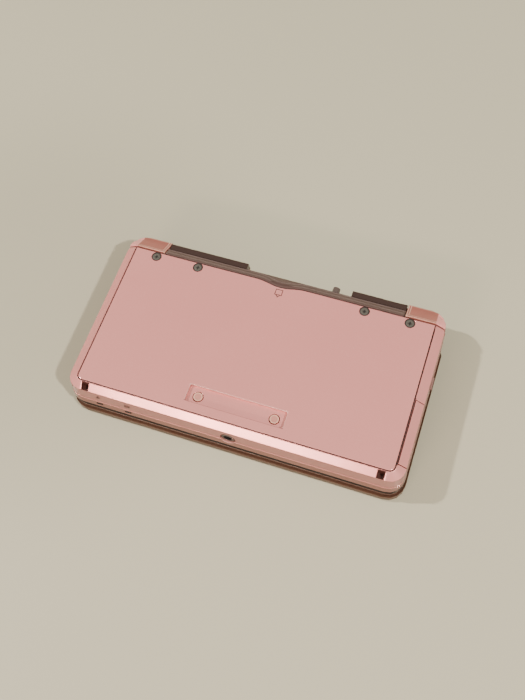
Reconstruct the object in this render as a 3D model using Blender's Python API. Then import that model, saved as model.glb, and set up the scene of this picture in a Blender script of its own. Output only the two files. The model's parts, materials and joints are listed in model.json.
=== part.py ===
"""Clamshell handheld game console, closed and lying upside down on its lid, in metres, +Z up.

The outer face of the lid is on the floor, the bottom cover is on top, and the hinge is at +Y.
The console's left side is at +X. The origin is on the floor under the middle of the case.
"""

import math

import bmesh
import bpy
from mathutils import Matrix, Vector

# Fits shared by all pieces
CLEARANCE = 0.0003
OVERRUN = 0.0010
CORNER_STEPS = 4
ROUND_STEPS = 20
SMALL_ROUND_STEPS = 12
SHARP_ANGLE = math.radians(30)

# Layers of the lid, from the floor up
LID_COVER_FLOOR = 0.0012
LID_COVER_RIM = 0.0042
LID_COVER_WALL = 0.0013
LID_EDGE_ROUND = 0.0012
LID_EDGE_STEPS = 3
LID_SHELL_FLOOR = 0.0012
LID_SHELL_WALL = 0.0010
LID_SHELL_SETBACK = 0.0007
UPPER_LCD_THICKNESS = 0.0033
BEZEL_THICKNESS = 0.0020
BEZEL_EDGE = 0.0004
BEZEL_RECESS = 0.0005
BEZEL_BORDER = 0.0026
BUMPER_RADIUS = 0.0010
BUMPER_RISE = 0.00015
LID_SHELL_BOTTOM = LID_COVER_FLOOR + CLEARANCE
LID_INSIDE = LID_SHELL_BOTTOM + LID_SHELL_FLOOR + CLEARANCE
LID_SHELL_TOP = LID_INSIDE + UPPER_LCD_THICKNESS
BEZEL_BOTTOM = LID_SHELL_TOP + CLEARANCE
LID_TOP = BEZEL_BOTTOM + BEZEL_THICKNESS
BEZEL_FACE = LID_TOP - BEZEL_RECESS

# Layers of the base, above the lid
LID_GAP = 0.0005
CONTROL_RECESS = 0.0005
CONTROL_PLATE = 0.0012
CONTROL_RIM = 0.0025
CONTROL_EDGE = 0.0004
CONTROL_WALL_HEIGHT = 0.0036
LOWER_LCD_THICKNESS = 0.0017
BOARD_THICKNESS = 0.0008
CARD_SOCKET_HEIGHT = 0.0049
SOCKET_TO_COVER = 0.0007
COVER_THICKNESS = 0.0012
FLOOR_THICKNESS = 0.0007
BASE_BOTTOM = LID_TOP + LID_GAP
CONTROL_FACE = BASE_BOTTOM + CONTROL_RECESS
PLATE_INSIDE = CONTROL_FACE + CONTROL_PLATE
KEY_LEVEL = PLATE_INSIDE + CLEARANCE
PARTING = BASE_BOTTOM + CONTROL_WALL_HEIGHT
LCD_TOP = KEY_LEVEL + LOWER_LCD_THICKNESS
BOARD_BOTTOM = LCD_TOP + CLEARANCE
BOARD_TOP = BOARD_BOTTOM + BOARD_THICKNESS
SOCKET_LEVEL = BOARD_TOP + CLEARANCE
SOCKET_TOP = SOCKET_LEVEL + CARD_SOCKET_HEIGHT
COVER_BOTTOM = SOCKET_TOP + SOCKET_TO_COVER
TOP = COVER_BOTTOM + COVER_THICKNESS
FLOOR_TOP = COVER_BOTTOM - CLEARANCE
FLOOR_BOTTOM = FLOOR_TOP - FLOOR_THICKNESS

# Screens, which set the width with the fields of controls beside them
LOWER_LCD_WIDTH = 0.0680
LOWER_LCD_DEPTH = 0.0500
TOUCH_WINDOW_BORDER_X = 0.0020
TOUCH_WINDOW_BORDER_Y = 0.0015
UPPER_LCD_EXTRA_WIDTH = 0.0180
UPPER_LCD_EXTRA_DEPTH = 0.0020
UPPER_LCD_WIDTH = LOWER_LCD_WIDTH + UPPER_LCD_EXTRA_WIDTH
UPPER_LCD_DEPTH = LOWER_LCD_DEPTH + UPPER_LCD_EXTRA_DEPTH
UPPER_WINDOW_BORDER_X = 0.0030
UPPER_WINDOW_BORDER_Y = 0.0020
WINDOW_CORNER = 0.0010
CONTROL_FIELD = 0.0304
CASE_WALL = 0.0013

# Plan of the case at the parting line, and its draft and chamfer
CASE_HALF_WIDTH = LOWER_LCD_WIDTH / 2 + CLEARANCE + CONTROL_FIELD + CASE_WALL
HINGE_Y = 0.0320
BARREL_RADIUS = 0.0042
TROUGH_RADIUS = BARREL_RADIUS + CLEARANCE
TROUGH_WALL = 0.0011
REAR_SOLID_FRONT = HINGE_Y - TROUGH_RADIUS - TROUGH_WALL
FRONT_FIELD = 0.0121
CASE_FRONT = REAR_SOLID_FRONT - CLEARANCE - LOWER_LCD_DEPTH - FRONT_FIELD
CASE_CORNER = 0.0060
LID_SEAM_DRAFT = 0.0003
LID_SEAM_DRAFT_FRONT = 0.0006
CHAMFER_HEIGHT = 0.0023
CHAMFER_INSET = 0.0035
CHAMFER_INSET_FRONT = 0.0027
CHAMFER_DRAFT = 0.0003
CHAMFER_DRAFT_FRONT = 0.0006
CHAMFER_LEVEL = TOP - CHAMFER_HEIGHT
REAR_WALL = 0.0328
REAR_LIP = 0.0294
FRAME_CORNER = 0.0026

# Hinge
HINGE_Z = (LID_TOP + BASE_BOTTOM) / 2
BARREL_END_INSET = 0.0240
BARREL_HALF_LENGTH = CASE_HALF_WIDTH - BARREL_END_INSET
KNUCKLE_LENGTH = 0.0072
KNUCKLE_START = BARREL_HALF_LENGTH + CLEARANCE
NECK_LOW = 0.0052
NECK_THICKNESS = 0.0031
NECK_ROOT = 0.0018
CLUTCH_LENGTH = 0.0214
CLUTCH_WALL = 0.0008
SHAFT_RADIUS = 0.0013
SHAFT_IN_CLUTCH = 0.0110
SHAFT_IN_KNUCKLE = 0.0060
CABLE_RADIUS = 0.0019
CABLE_IN_BARREL = 0.0220
CABLE_IN_KNUCKLE = 0.0060

# Plan of the lid
LID_OVERHANG = 0.0010
LID_HALF_WIDTH = CASE_HALF_WIDTH + LID_OVERHANG
LID_FRONT = CASE_FRONT - LID_OVERHANG
LID_REAR_SETBACK = 0.0050
LID_REAR = HINGE_Y - LID_REAR_SETBACK
LID_CORNER = 0.0070
LID_REAR_CORNER = 0.0020
BUMPER_SIDE_INSET = 0.0020
BUMPER_FRONT_INSET = 0.0080
BUMPER_REAR_INSET = 0.0040
BUMPER_X = LID_HALF_WIDTH - BUMPER_SIDE_INSET
BUMPER_FRONT_Y = LID_FRONT + BUMPER_FRONT_INSET
BUMPER_REAR_Y = LID_REAR - BUMPER_REAR_INSET
LID_SHELL_INSET = LID_COVER_WALL + CLEARANCE
LID_POCKET_INSET = LID_SHELL_INSET + LID_SHELL_WALL
UPPER_SCREEN_FRONT_INSET = 0.0069
UPPER_SCREEN_Y = CASE_FRONT + UPPER_SCREEN_FRONT_INSET + UPPER_LCD_DEPTH / 2

# Rear of the base: trough over the barrel, port blocks and shoulder buttons
TROUGH_ROOF = 0.0008
TROUGH_OPEN_HEIGHT = 0.0034
REAR_LEVEL = HINGE_Z + TROUGH_RADIUS + TROUGH_ROOF
CONTROL_REAR = 0.0366
CENTRE_REAR = 0.0350
BLOCK_OUTER_INSET = 0.0166
BLOCK_OUTER = CASE_HALF_WIDTH - BLOCK_OUTER_INSET
BLOCK_HEIGHT = 0.0043
BLOCK_REAR_TOP = 0.0354
BLOCK_REAR_SHOULDER = 0.0358
BLOCK_SHOULDER_DROP = 0.0004

# Shoulder buttons
SHOULDER_LENGTH = 0.0162
SHOULDER_INNER = CASE_HALF_WIDTH - SHOULDER_LENGTH
SHOULDER_FRONT = 0.0293
SHOULDER_REAR = 0.0370
SHOULDER_CORNER = 0.0065
SHOULDER_CAVITY_LENGTH = 0.0165
SHOULDER_CAVITY_INNER = CASE_HALF_WIDTH - SHOULDER_CAVITY_LENGTH
SHOULDER_CAVITY_FRONT = 0.0288
SHOULDER_SKIRT_HEIGHT = 0.0020
SHOULDER_BULGE_HEIGHT = 0.0010
SHOULDER_BULGE_INSET = 0.0006
SHOULDER_BREAK_HEIGHT = 0.0032
SHOULDER_BREAK_INSET = 0.0018
SHOULDER_LIP_DROP = 0.0005
SHOULDER_LIP_DEPTH = 0.0006
SHOULDER_FACE_END = 0.0013
SHOULDER_TOP_CORNER = 0.0005
SHOULDER_SIDE_CORNER_SHARE = 0.9
SHOULDER_LIP_CORNER_SHARE = 0.8
SHOULDER_PIVOT_INSET = 0.0144
SHOULDER_PIVOT_X = CASE_HALF_WIDTH - SHOULDER_PIVOT_INSET
SHOULDER_PIVOT_Y = 0.0335
SHOULDER_PIN_RADIUS = 0.0006
SHOULDER_PIN_DEPTH = 0.0009
SHOULDER_PIN_LENGTH = 0.0022
SHOULDER_SWITCH_INSET = 0.0060
SHOULDER_SWITCH_X = CASE_HALF_WIDTH - SHOULDER_SWITCH_INSET
SHOULDER_SWITCH_WIDTH = 0.0050
SHOULDER_SWITCH_DEPTH = 0.0030
SHOULDER_SWITCH_HEIGHT = 0.0030
SHOULDER_PLUNGER_RADIUS = 0.0007

# Bottom cover
COVER_SIDE_INSET = 0.0005
COVER_CORNER = 0.0020
COVER_EDGE = 0.0002
COVER_REAR = 0.0288
COVER_FRONT_INSET = 0.0005
NOTCH_HALF_WIDTH = 0.0098
NOTCH_DEPTH = 0.0014
NOTCH_STEPS = 10
CONTACT_SLOT_FRONT_INSET = 0.0076
CONTACT_SLOT_FRONT = CASE_FRONT + CONTACT_SLOT_FRONT_INSET
CONTACT_SLOT_REAR_INSET = 0.0144
CONTACT_SLOT_REAR = CASE_FRONT + CONTACT_SLOT_REAR_INSET
CONTACT_FRONT_INSET = 0.0107
CONTACT_Y = CASE_FRONT + CONTACT_FRONT_INSET
CONTACT_RADIUS = 0.0018
CONTACT_RISE = 0.0002
COVER_SCREW_OUTER_INSET = 0.0137
COVER_SCREW_INNER_INSET = 0.0316
COVER_SCREW_OUTER_X = CASE_HALF_WIDTH - COVER_SCREW_OUTER_INSET
COVER_SCREW_INNER_X = CASE_HALF_WIDTH - COVER_SCREW_INNER_INSET
COVER_SCREW_XS = (COVER_SCREW_OUTER_X, COVER_SCREW_INNER_X)
COVER_SCREW_Y = 0.0268
COVER_SCREW_HEAD = 0.0019
COVER_SCREW_HEAD_HEIGHT = 0.0004
COVER_SCREW_SEAT = 0.0004
COVER_SCREW_SHANK = 0.00055
COVER_SCREW_LENGTH = 0.0040
COVER_BOSS_RADIUS = 0.0017
COVER_BOSS_LENGTH = 0.0038
COVER_BOSS_END = 0.0006

# Screws that hold the two shells of the base
SHELL_SCREW_Y_INSET = 0.0056
SHELL_SCREW_FRONT_Y = CASE_FRONT + SHELL_SCREW_Y_INSET
SHELL_SCREW_REAR_INSET = 0.0270
SHELL_SCREW_REAR_X = CASE_HALF_WIDTH - SHELL_SCREW_REAR_INSET
SHELL_SCREW_REAR_Y = 0.0235
SHELL_SCREW_HEAD = 0.0014
SHELL_SCREW_HEAD_HEIGHT = 0.0005
SHELL_SCREW_SHANK = 0.0006
SHELL_SCREW_BOSS = 0.0023
SHELL_SCREW_BITE = 0.0014
DRIVE_WIDTH = 0.0004
DRIVE_LENGTH = 0.0018
DRIVE_DEPTH = 0.0002

# Keys
KEY_RISE = 0.0008
KEY_EDGE = 0.0004
KEY_FLANGE = 0.0004
KEY_FLANGE_WIDTH = 0.0007
KEY_TIP = CONTROL_FACE - KEY_RISE
FACE_KEY_RADIUS = 0.0036
FACE_KEY_PITCH = 0.0078
FIELD_X = LOWER_LCD_WIDTH / 2 + CLEARANCE + CONTROL_FIELD / 2
FIELD_REAR_INSET = 0.0174
FIELD_REAR_Y = REAR_SOLID_FRONT - FIELD_REAR_INSET
POWER_KEY_RADIUS = 0.0027
POWER_KEY_SIDE_INSET = 0.0110
POWER_KEY_FRONT_INSET = 0.0088
POWER_KEY_X = POWER_KEY_SIDE_INSET - CASE_HALF_WIDTH
POWER_KEY_Y = CASE_FRONT + POWER_KEY_FRONT_INSET
MENU_KEY_WIDTH = 0.0130
MENU_KEY_DEPTH = 0.0040
MENU_KEY_CORNER = 0.0012
MENU_KEY_PITCH = 0.0160
MENU_KEY_FRONT_INSET = 0.0076
MENU_KEY_Y = CASE_FRONT + MENU_KEY_FRONT_INSET
MENU_KEY_RISE = 0.0004
MENU_KEY_TRAVEL = 0.00025
D_PAD_FRONT_SHARE = 0.4
D_PAD_ARM_SHARE = 0.19
D_PAD_Y = CASE_FRONT + LOWER_LCD_DEPTH * D_PAD_FRONT_SHARE
D_PAD_ARM = LOWER_LCD_DEPTH * D_PAD_ARM_SHARE
D_PAD_WIDTH = 0.0068
D_PAD_CORNER = 0.0008
D_PAD_CORNER_STEPS = 2
D_PAD_RISE = 0.0006
D_PAD_PLAY = 0.00045
D_PAD_LIFT = 0.0003
D_PAD_FLANGE = 0.0003
D_PAD_PIVOT_RADIUS = 0.0016
D_PAD_PIVOT_HEIGHT = 0.0008

# Circle pad and the slides under it
CIRCLE_FIELD_MARGIN = 0.0172
CIRCLE_CAP_RADIUS = (CONTROL_FIELD - CIRCLE_FIELD_MARGIN) / 2
CIRCLE_TRAVEL = 0.0015
CIRCLE_DISH = 0.0005
CIRCLE_DIAGONAL = CIRCLE_TRAVEL * math.sqrt(2)
CIRCLE_HOLE_RADIUS = CIRCLE_CAP_RADIUS + CIRCLE_DIAGONAL + CLEARANCE
CIRCLE_SKIRT_RADIUS = CIRCLE_HOLE_RADIUS + CIRCLE_DIAGONAL
CIRCLE_SKIRT = 0.0004
CIRCLE_STEM_RADIUS = 0.0020
CIRCLE_SLIDER_MARGIN = 0.0104
CIRCLE_SLIDER_SIZE = CONTROL_FIELD - CIRCLE_SLIDER_MARGIN
CIRCLE_SLIDER_THICKNESS = 0.0006
CIRCLE_STEM_LENGTH = 0.0015
CIRCLE_HOUSING_WALL = 0.0010
CIRCLE_HOUSING_FLOOR = 0.0006

# Slide switches in the side walls of the base
SIDE_KNOB_LOW = 0.0002
SIDE_KNOB_HEIGHT = 0.0009
SIDE_KNOB_PROUD = 0.0004
SIDE_KNOB_TAB = 0.0008
SIDE_KNOB_TAB_MARGIN = 0.0010
VOLUME_Y = 0.0065
VOLUME_LENGTH = 0.0050
VOLUME_TRAVEL = 0.0080
WIRELESS_SWITCH_Y = 0.0020
WIRELESS_SWITCH_LENGTH = 0.0040
WIRELESS_SWITCH_TRAVEL = 0.0025

# Depth slider in the edge of the lid
DEPTH_SLOT_INSET = 0.0140
DEPTH_SLOT_FRONT = CASE_FRONT + DEPTH_SLOT_INSET
DEPTH_KNOB_LENGTH = 0.0060
DEPTH_TRAVEL = 0.0140
DEPTH_SLOT_FLOOR = 0.0004
DEPTH_SLOT_WIDTH = 0.0033
DEPTH_FOOT_WIDTH = 0.0008
DEPTH_FOOT_LENGTH = 0.0020
DEPTH_FOOT_HEIGHT = 0.0016

# Main board and what stands on it
BOARD_MARGIN = 0.0026
CARD_SOCKET_X = 0.0008
CARD_SOCKET_WIDTH = 0.0350
BATTERY_SIDE_INSET = 0.0050
BATTERY_FRONT_INSET = 0.0090
BATTERY_TO_SOCKET = 0.0033
BATTERY_SCREEN_MARGIN = 0.0070
BATTERY_OUTER = CASE_HALF_WIDTH - BATTERY_SIDE_INSET
BATTERY_INNER = CARD_SOCKET_WIDTH / 2 - CARD_SOCKET_X + BATTERY_TO_SOCKET
BATTERY_WIDTH = BATTERY_OUTER - BATTERY_INNER
BATTERY_DEPTH = LOWER_LCD_DEPTH - BATTERY_SCREEN_MARGIN
BATTERY_X = -(BATTERY_OUTER + BATTERY_INNER) / 2
BATTERY_Y = CASE_FRONT + BATTERY_FRONT_INSET + BATTERY_DEPTH / 2
BATTERY_CORNER = 0.0010
CARD_SOCKET_FRONT = -0.0040
CARD_SOCKET_SHEET = 0.0003
CARD_PASSAGE_INSET = 0.0007
CARD_PASSAGE_HALF_WIDTH = CARD_SOCKET_WIDTH / 2 - CARD_PASSAGE_INSET
WIRELESS_TO_SOCKET = 0.0097
WIRELESS_LEFT = CARD_SOCKET_X + CARD_SOCKET_WIDTH / 2 + WIRELESS_TO_SOCKET
WIRELESS_SIDE_INSET = 0.0190
WIRELESS_WIDTH = CASE_HALF_WIDTH - WIRELESS_SIDE_INSET - WIRELESS_LEFT
WIRELESS_REAR = 0.0190
WIRELESS_BOARD = 0.0008
WIRELESS_CAN = 0.0012
WIRELESS_CAN_MARGIN = 0.0020
JACK_RADIUS = 0.0027
JACK_BORE = 0.00175
JACK_BODY_WALL = 0.00035
JACK_BORE_DEPTH = 0.0108
JACK_BODY_WIDTH = 0.0070
JACK_BODY_DEPTH = 0.0114
JACK_BODY_LOW = KEY_LEVEL + KEY_FLANGE + MENU_KEY_TRAVEL + CLEARANCE
JACK_Z = JACK_BODY_LOW + JACK_BODY_WALL + JACK_BORE
POWER_PORT_INSET = 0.0225
POWER_PORT_X = CASE_HALF_WIDTH - POWER_PORT_INSET
POWER_PORT_WIDTH = 0.0074
POWER_PORT_HEIGHT = 0.0034
POWER_PORT_LENGTH = 0.0080
POWER_PORT_WALL = 0.0006
POWER_PORT_MOUTH = 0.0040
PORT_BASE = 0.0004
LIGHT_OUTER_INSET = 0.0135
LIGHT_INNER_INSET = 0.0254
LIGHT_XS = (LIGHT_OUTER_INSET - CASE_HALF_WIDTH, LIGHT_INNER_INSET - CASE_HALF_WIDTH)
LIGHT_WIDTH = 0.0018
LIGHT_HEIGHT = 0.0006
LIGHT_PIPE_DEPTH = 0.0048
LIGHT_PIPE_FOOT = 0.0010

# Memory card slot and its door
DOOR_FRONT_INSET = 0.00735
DOOR_FRONT = CASE_FRONT + DOOR_FRONT_INSET
DOOR_REAR_INSET = 0.03263
DOOR_REAR = CASE_FRONT + DOOR_REAR_INSET
DOOR_WALL = 0.0012
DOOR_BOTTOM_GAP = 0.0006
DOOR_FLAP = 0.0011
DOOR_AXIS_INSET = 0.0016
DOOR_AXIS_X = CASE_HALF_WIDTH - DOOR_AXIS_INSET
DOOR_AXIS_Z = 0.0146
DOOR_SWEEP = 0.0016
DOOR_BARREL = 0.0009
DOOR_PINTLE = 0.0005
DOOR_PINTLE_LENGTH = 0.0009
DOOR_LUG = 0.0018
CARD_THICKNESS = 0.0021
CARD_WIDTH = 0.0240
CARD_LENGTH = 0.0305
CARD_CORNER = 0.0010
CARD_SETBACK = 0.0008
WIRELESS_TO_DOOR = 0.00237
WIRELESS_FRONT = DOOR_REAR + WIRELESS_TO_DOOR
WIRELESS_DEPTH = WIRELESS_REAR - WIRELESS_FRONT
SD_SOCKET_SHEET = 0.0003
SD_SOCKET_LENGTH = 0.0280

# Stylus
STYLUS_RADIUS = 0.0019
STYLUS_X = CARD_SOCKET_X + CARD_SOCKET_WIDTH / 2 + 2 * CLEARANCE + STYLUS_RADIUS
STYLUS_Z = 0.01645
STYLUS_BORE = 0.00135
STYLUS_FRONT_INSET = 0.0080
STYLUS_FRONT = CASE_FRONT + STYLUS_FRONT_INSET
STYLUS_HEAD_START = 0.0325
STYLUS_END = 0.0358
STYLUS_HEAD_RADIUS = 0.0015
STYLUS_TIP_RADIUS = 0.00105
STYLUS_TIP_LENGTH = 0.0400
STYLUS_NIB = 0.0020
STYLUS_NIB_END = 0.0005

# Contacts, front screws and the rear port blocks, set from the stylus and the card's passage
CONTACT_TO_STYLUS = 0.0058
CONTACT_TO_SLOT_END = 0.0042
CONTACT_X = STYLUS_X - CONTACT_TO_STYLUS
CONTACT_SLOT_HALF_WIDTH = CONTACT_X + CONTACT_TO_SLOT_END
SCREW_TO_STYLUS = 0.0062
SHELL_SCREW_FRONT_X = STYLUS_X + SCREW_TO_STYLUS
BLOCK_TO_STYLUS = 0.0066
BLOCK_TO_PASSAGE = 0.0001
BLOCK_INNER_LEFT = STYLUS_X + BLOCK_TO_STYLUS
BLOCK_INNER_RIGHT = CARD_PASSAGE_HALF_WIDTH - CARD_SOCKET_X + BLOCK_TO_PASSAGE

# Strap holes in the front chamfer
STRAP_SIDE_INSET = 0.0084
STRAP_X = CASE_HALF_WIDTH - STRAP_SIDE_INSET
STRAP_WIDTH = 0.0029
STRAP_FRONT_INSET = 0.0006
STRAP_FRONT = CASE_FRONT + STRAP_FRONT_INSET
STRAP_REAR_INSET = 0.0032
STRAP_REAR = CASE_FRONT + STRAP_REAR_INSET
STRAP_DEPTH = 0.0036
STRAP_WALL = 0.0007

# Cameras and speakers of the lid
CAMERA_X = 0.0175
CAMERA_FRONT_INSET = 0.0042
CAMERA_Y = CASE_FRONT + CAMERA_FRONT_INSET
CAMERA_RADIUS = 0.0020
CAMERA_LENS_RADIUS = 0.0012
CAMERA_DISH = 0.0006
CAMERA_WINDOW = 0.0026
CAMERA_WINDOW_THICKNESS = 0.0008
CAMERA_BOARD_LEVEL = 0.0010
CAMERA_BOARD_THICKNESS = 0.0006
CAMERA_BOARD_HALF_LENGTH = 0.0210
CAMERA_BOARD_DEPTH = 0.0042
INNER_CAMERA_RADIUS = 0.0019
SPEAKER_INSET = 0.0135
SPEAKER_X = CASE_HALF_WIDTH - SPEAKER_INSET
SPEAKER_Y = -0.0030
SPEAKER_WIDTH = 0.0130
SPEAKER_DEPTH = 0.0180
SPEAKER_CORNER = 0.0040
SPEAKER_CONE = 0.0048
SPEAKER_DISH = 0.0008
GRILLE_SLOTS = 4
GRILLE_PITCH = 0.0026
GRILLE_LENGTH = 0.0070
GRILLE_WIDTH = 0.0011


def material(name, colour, roughness, metallic=0.0, alpha=1.0):
    """A Principled BSDF finish from a linear colour."""
    finish = bpy.data.materials.new(name)
    finish.use_nodes = True
    shader = finish.node_tree.nodes["Principled BSDF"]
    shader.inputs["Base Color"].default_value = (*colour, 1.0)
    shader.inputs["Roughness"].default_value = roughness
    shader.inputs["Metallic"].default_value = metallic
    shader.inputs["Alpha"].default_value = alpha
    finish.diffuse_color = (*colour, alpha)
    return finish


def outline(left, right, front, rear, corners=(0, 0, 0, 0), steps=CORNER_STEPS):
    """A rectangle anticlockwise from its front left corner, with a rounding for each corner."""
    centres = (
        (left + corners[0], front + corners[0], math.pi),
        (right - corners[1], front + corners[1], math.pi * 1.5),
        (right - corners[2], rear - corners[2], 0.0),
        (left + corners[3], rear - corners[3], math.pi / 2),
    )
    points = []
    for (x, y, start), radius in zip(centres, corners):
        turns = steps if radius else 0
        for step in range(turns + 1):
            angle = start + math.pi / 2 * step / max(turns, 1)
            points.append((x + radius * math.cos(angle), y + radius * math.sin(angle)))
    return points


def centred_outline(x, y, width, depth, corner=0, steps=CORNER_STEPS):
    """A rectangle about a middle point, with all four corners alike."""
    return outline(x - width / 2, x + width / 2, y - depth / 2, y + depth / 2, (corner,) * 4, steps)


def level(points, z):
    """An outline as a ring of points at one height."""
    return [(x, y, z) for x, y in points]


def loft(*rings):
    """A closed body through rings that have the same number of points."""
    shape = bmesh.new()
    loops = [[shape.verts.new(point) for point in ring] for ring in rings]
    for low, high in zip(loops, loops[1:]):
        sides = zip(low, low[1:] + low[:1], high[1:] + high[:1], high)
        for side in sides:
            shape.faces.new(side)
    shape.faces.new(loops[0])
    shape.faces.new(loops[-1])
    return shape


def prism(points, low, high):
    """An outline raised from one height to another."""
    shape = bmesh.new()
    face = shape.faces.new([shape.verts.new(point) for point in level(points, low)])
    raised = bmesh.ops.extrude_face_region(shape, geom=[face])["geom"]
    top = [item for item in raised if isinstance(item, bmesh.types.BMVert)]
    bmesh.ops.translate(shape, verts=top, vec=(0, 0, high - low))
    return shape


def block(left, right, front, rear, low, high):
    """A plain rectangular block."""
    return prism(outline(left, right, front, rear), low, high)


def bar(points, start, end, axis="X"):
    """An outline drawn across an axis, as (Y, Z) for X and (X, Z) for Y, and drawn out along it."""
    shape = prism(points, start, end)
    if axis == "X":
        turn = Matrix(((0, 0, 1), (1, 0, 0), (0, 1, 0)))
    else:
        turn = Matrix(((1, 0, 0), (0, 0, 1), (0, 1, 0)))
    bmesh.ops.transform(shape, matrix=turn.to_4x4(), verts=shape.verts)
    return shape


def turned(profile, centre, axis="Z", steps=ROUND_STEPS):
    """A profile of (radius, height) points, from axis to axis, turned about a line through a centre."""
    shape = bmesh.new()
    corners = [shape.verts.new((radius, 0, height)) for radius, height in profile]
    edges = [shape.edges.new(pair) for pair in zip(corners, corners[1:])]
    bmesh.ops.spin(
        shape,
        geom=corners + edges,
        axis=(0, 0, 1),
        cent=(0, 0, 0),
        steps=steps,
        angle=math.tau,
        use_merge=True,
    )
    bmesh.ops.remove_doubles(shape, verts=shape.verts, dist=CLEARANCE / ROUND_STEPS**2)
    if axis == "X":
        shape.transform(Matrix.Rotation(math.pi / 2, 4, "Y"))
    elif axis == "Y":
        shape.transform(Matrix.Rotation(-math.pi / 2, 4, "X"))
    shape.transform(Matrix.Translation(centre))
    return shape


def rod(centre, radius, start, end, axis="Z", steps=ROUND_STEPS):
    """A round bar between two places along its axis, which are heights above its centre."""
    return turned([(0, start), (radius, start), (radius, end), (0, end)], centre, axis, steps)


def link(name, shape):
    """A mesh object in the scene from a bmesh."""
    mesh = bpy.data.meshes.new(name)
    shape.to_mesh(mesh)
    shape.free()
    obj = bpy.data.objects.new(name, mesh)
    bpy.context.scene.collection.objects.link(obj)
    return obj


def piece(name, shape, finish, carrier=None):
    """A sub-part of the console, parented to the empty that carries it."""
    face_out(shape)
    obj = link(name, shape)
    obj.data.materials.append(finish)
    obj.data.shade_smooth()
    obj.data.set_sharp_from_angle(angle=SHARP_ANGLE)
    carry(obj, carrier)
    return obj


def carry(obj, carrier):
    """Parents an object and keeps its place."""
    if carrier:
        obj.parent = carrier
        obj.matrix_parent_inverse = carrier_place(carrier).inverted()


def carrier_place(carrier):
    """Where an empty stands in the world; the empties are only moved, never turned."""
    place = Matrix.Translation(carrier.location)
    if carrier.parent:
        place = carrier_place(carrier.parent) @ carrier.matrix_parent_inverse @ place
    return place


def joint_axis(name, place, carrier=None):
    """An empty on a joint's axis."""
    empty = bpy.data.objects.new(name, None)
    empty.empty_display_size = BARREL_RADIUS
    bpy.context.scene.collection.objects.link(empty)
    empty.location = place
    carry(empty, carrier)
    return empty


def face_out(shape):
    """Turns a closed body's faces outward."""
    bmesh.ops.recalc_face_normals(shape, faces=shape.faces)
    if shape.calc_volume(signed=True) < 0:
        bmesh.ops.reverse_faces(shape, faces=shape.faces)


def joined(shapes):
    """Separate solids in one bmesh."""
    group = bmesh.new()
    for shape in shapes:
        face_out(shape)
        part = bpy.data.meshes.new("part")
        shape.to_mesh(part)
        shape.free()
        group.from_mesh(part)
        bpy.data.meshes.remove(part)
    return group


def shape_with(obj, operation, shapes):
    """Adds a Boolean with shapes that stand clear of each other, as one hidden guide."""
    guide = link(f"{obj.name}_guide_{len(obj.modifiers):02d}", joined(shapes))
    guide.hide_render = True
    guide.hide_viewport = True
    guide.display_type = "WIRE"
    boolean = obj.modifiers.new(guide.name, "BOOLEAN")
    boolean.operation = operation
    boolean.object = guide


def cut(obj, *shapes):
    shape_with(obj, "DIFFERENCE", shapes)


def add(obj, *shapes):
    shape_with(obj, "UNION", shapes)


def mirrored_places(x, ys):
    """The same place on both sides, for each of the depths."""
    return [(side * x, y) for y in ys for side in (-1, 1)]


def lid_outline(inset):
    """The lid's plan, drawn in from the clear cover's outer wall."""
    rear_corner = max(LID_REAR_CORNER - inset, CLEARANCE)
    corners = (LID_CORNER - inset, LID_CORNER - inset, rear_corner, rear_corner)
    return outline(
        inset - LID_HALF_WIDTH,
        LID_HALF_WIDTH - inset,
        LID_FRONT + inset,
        LID_REAR - inset,
        corners,
    )


def case_outline(side, front, rear, corner):
    """The base's plan at one height, drawn in by the side and front amounts."""
    return outline(
        side - CASE_HALF_WIDTH,
        CASE_HALF_WIDTH - side,
        CASE_FRONT + front,
        rear,
        (corner,) * 4,
    )


def cover_outline(gap):
    """The bottom cover's plan, with the finger notch in its rear edge, grown by a gap."""
    half = CASE_HALF_WIDTH - CHAMFER_DRAFT - CHAMFER_INSET - COVER_SIDE_INSET + gap
    front = CASE_FRONT + CHAMFER_DRAFT_FRONT + CHAMFER_INSET_FRONT + COVER_FRONT_INSET - gap
    corner = COVER_CORNER + gap
    points = outline(-half, half, front, COVER_REAR + gap, (corner, corner, 0, 0))
    notch = []
    for step in range(NOTCH_STEPS + 1):
        share = step / NOTCH_STEPS
        x = NOTCH_HALF_WIDTH * (1 - 2 * share)
        dip = NOTCH_DEPTH * (1 - math.cos(math.tau * share)) / 2
        notch.append((x, COVER_REAR + gap - dip))
    return points[:-1] + notch + points[-1:]


def screw(place, head, head_height, shank, top, length, steps=SMALL_ROUND_STEPS):
    """A flat-headed screw with its head's top at a height, pointing down."""
    under = top - head_height
    profile = [
        (0, top),
        (head, top),
        (head, under),
        (shank, under),
        (shank, under - length),
        (0, under - length),
    ]
    return turned(profile, (*place, 0), "Z", steps)


def stepped_hole(wide, narrow, low, seat, high):
    """Profile of the clearance hole for a screw, wide above its seat."""
    return [
        (0, low),
        (narrow + CLEARANCE, low),
        (narrow + CLEARANCE, seat),
        (wide + CLEARANCE, seat),
        (wide + CLEARANCE, high),
        (0, high),
    ]


def drive_slots(place, top):
    """The crossed slot in a screw's head."""
    x, y = place
    long, short = DRIVE_LENGTH / 2, DRIVE_WIDTH / 2
    points = []
    for quarter in range(4):
        turn = Matrix.Rotation(quarter * math.pi / 2, 2)
        points += [turn @ Vector(corner) for corner in ((long, -short), (long, short), (short, short))]
    return prism([(x + point.x, y + point.y) for point in points], top - DRIVE_DEPTH, top + OVERRUN)


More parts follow.
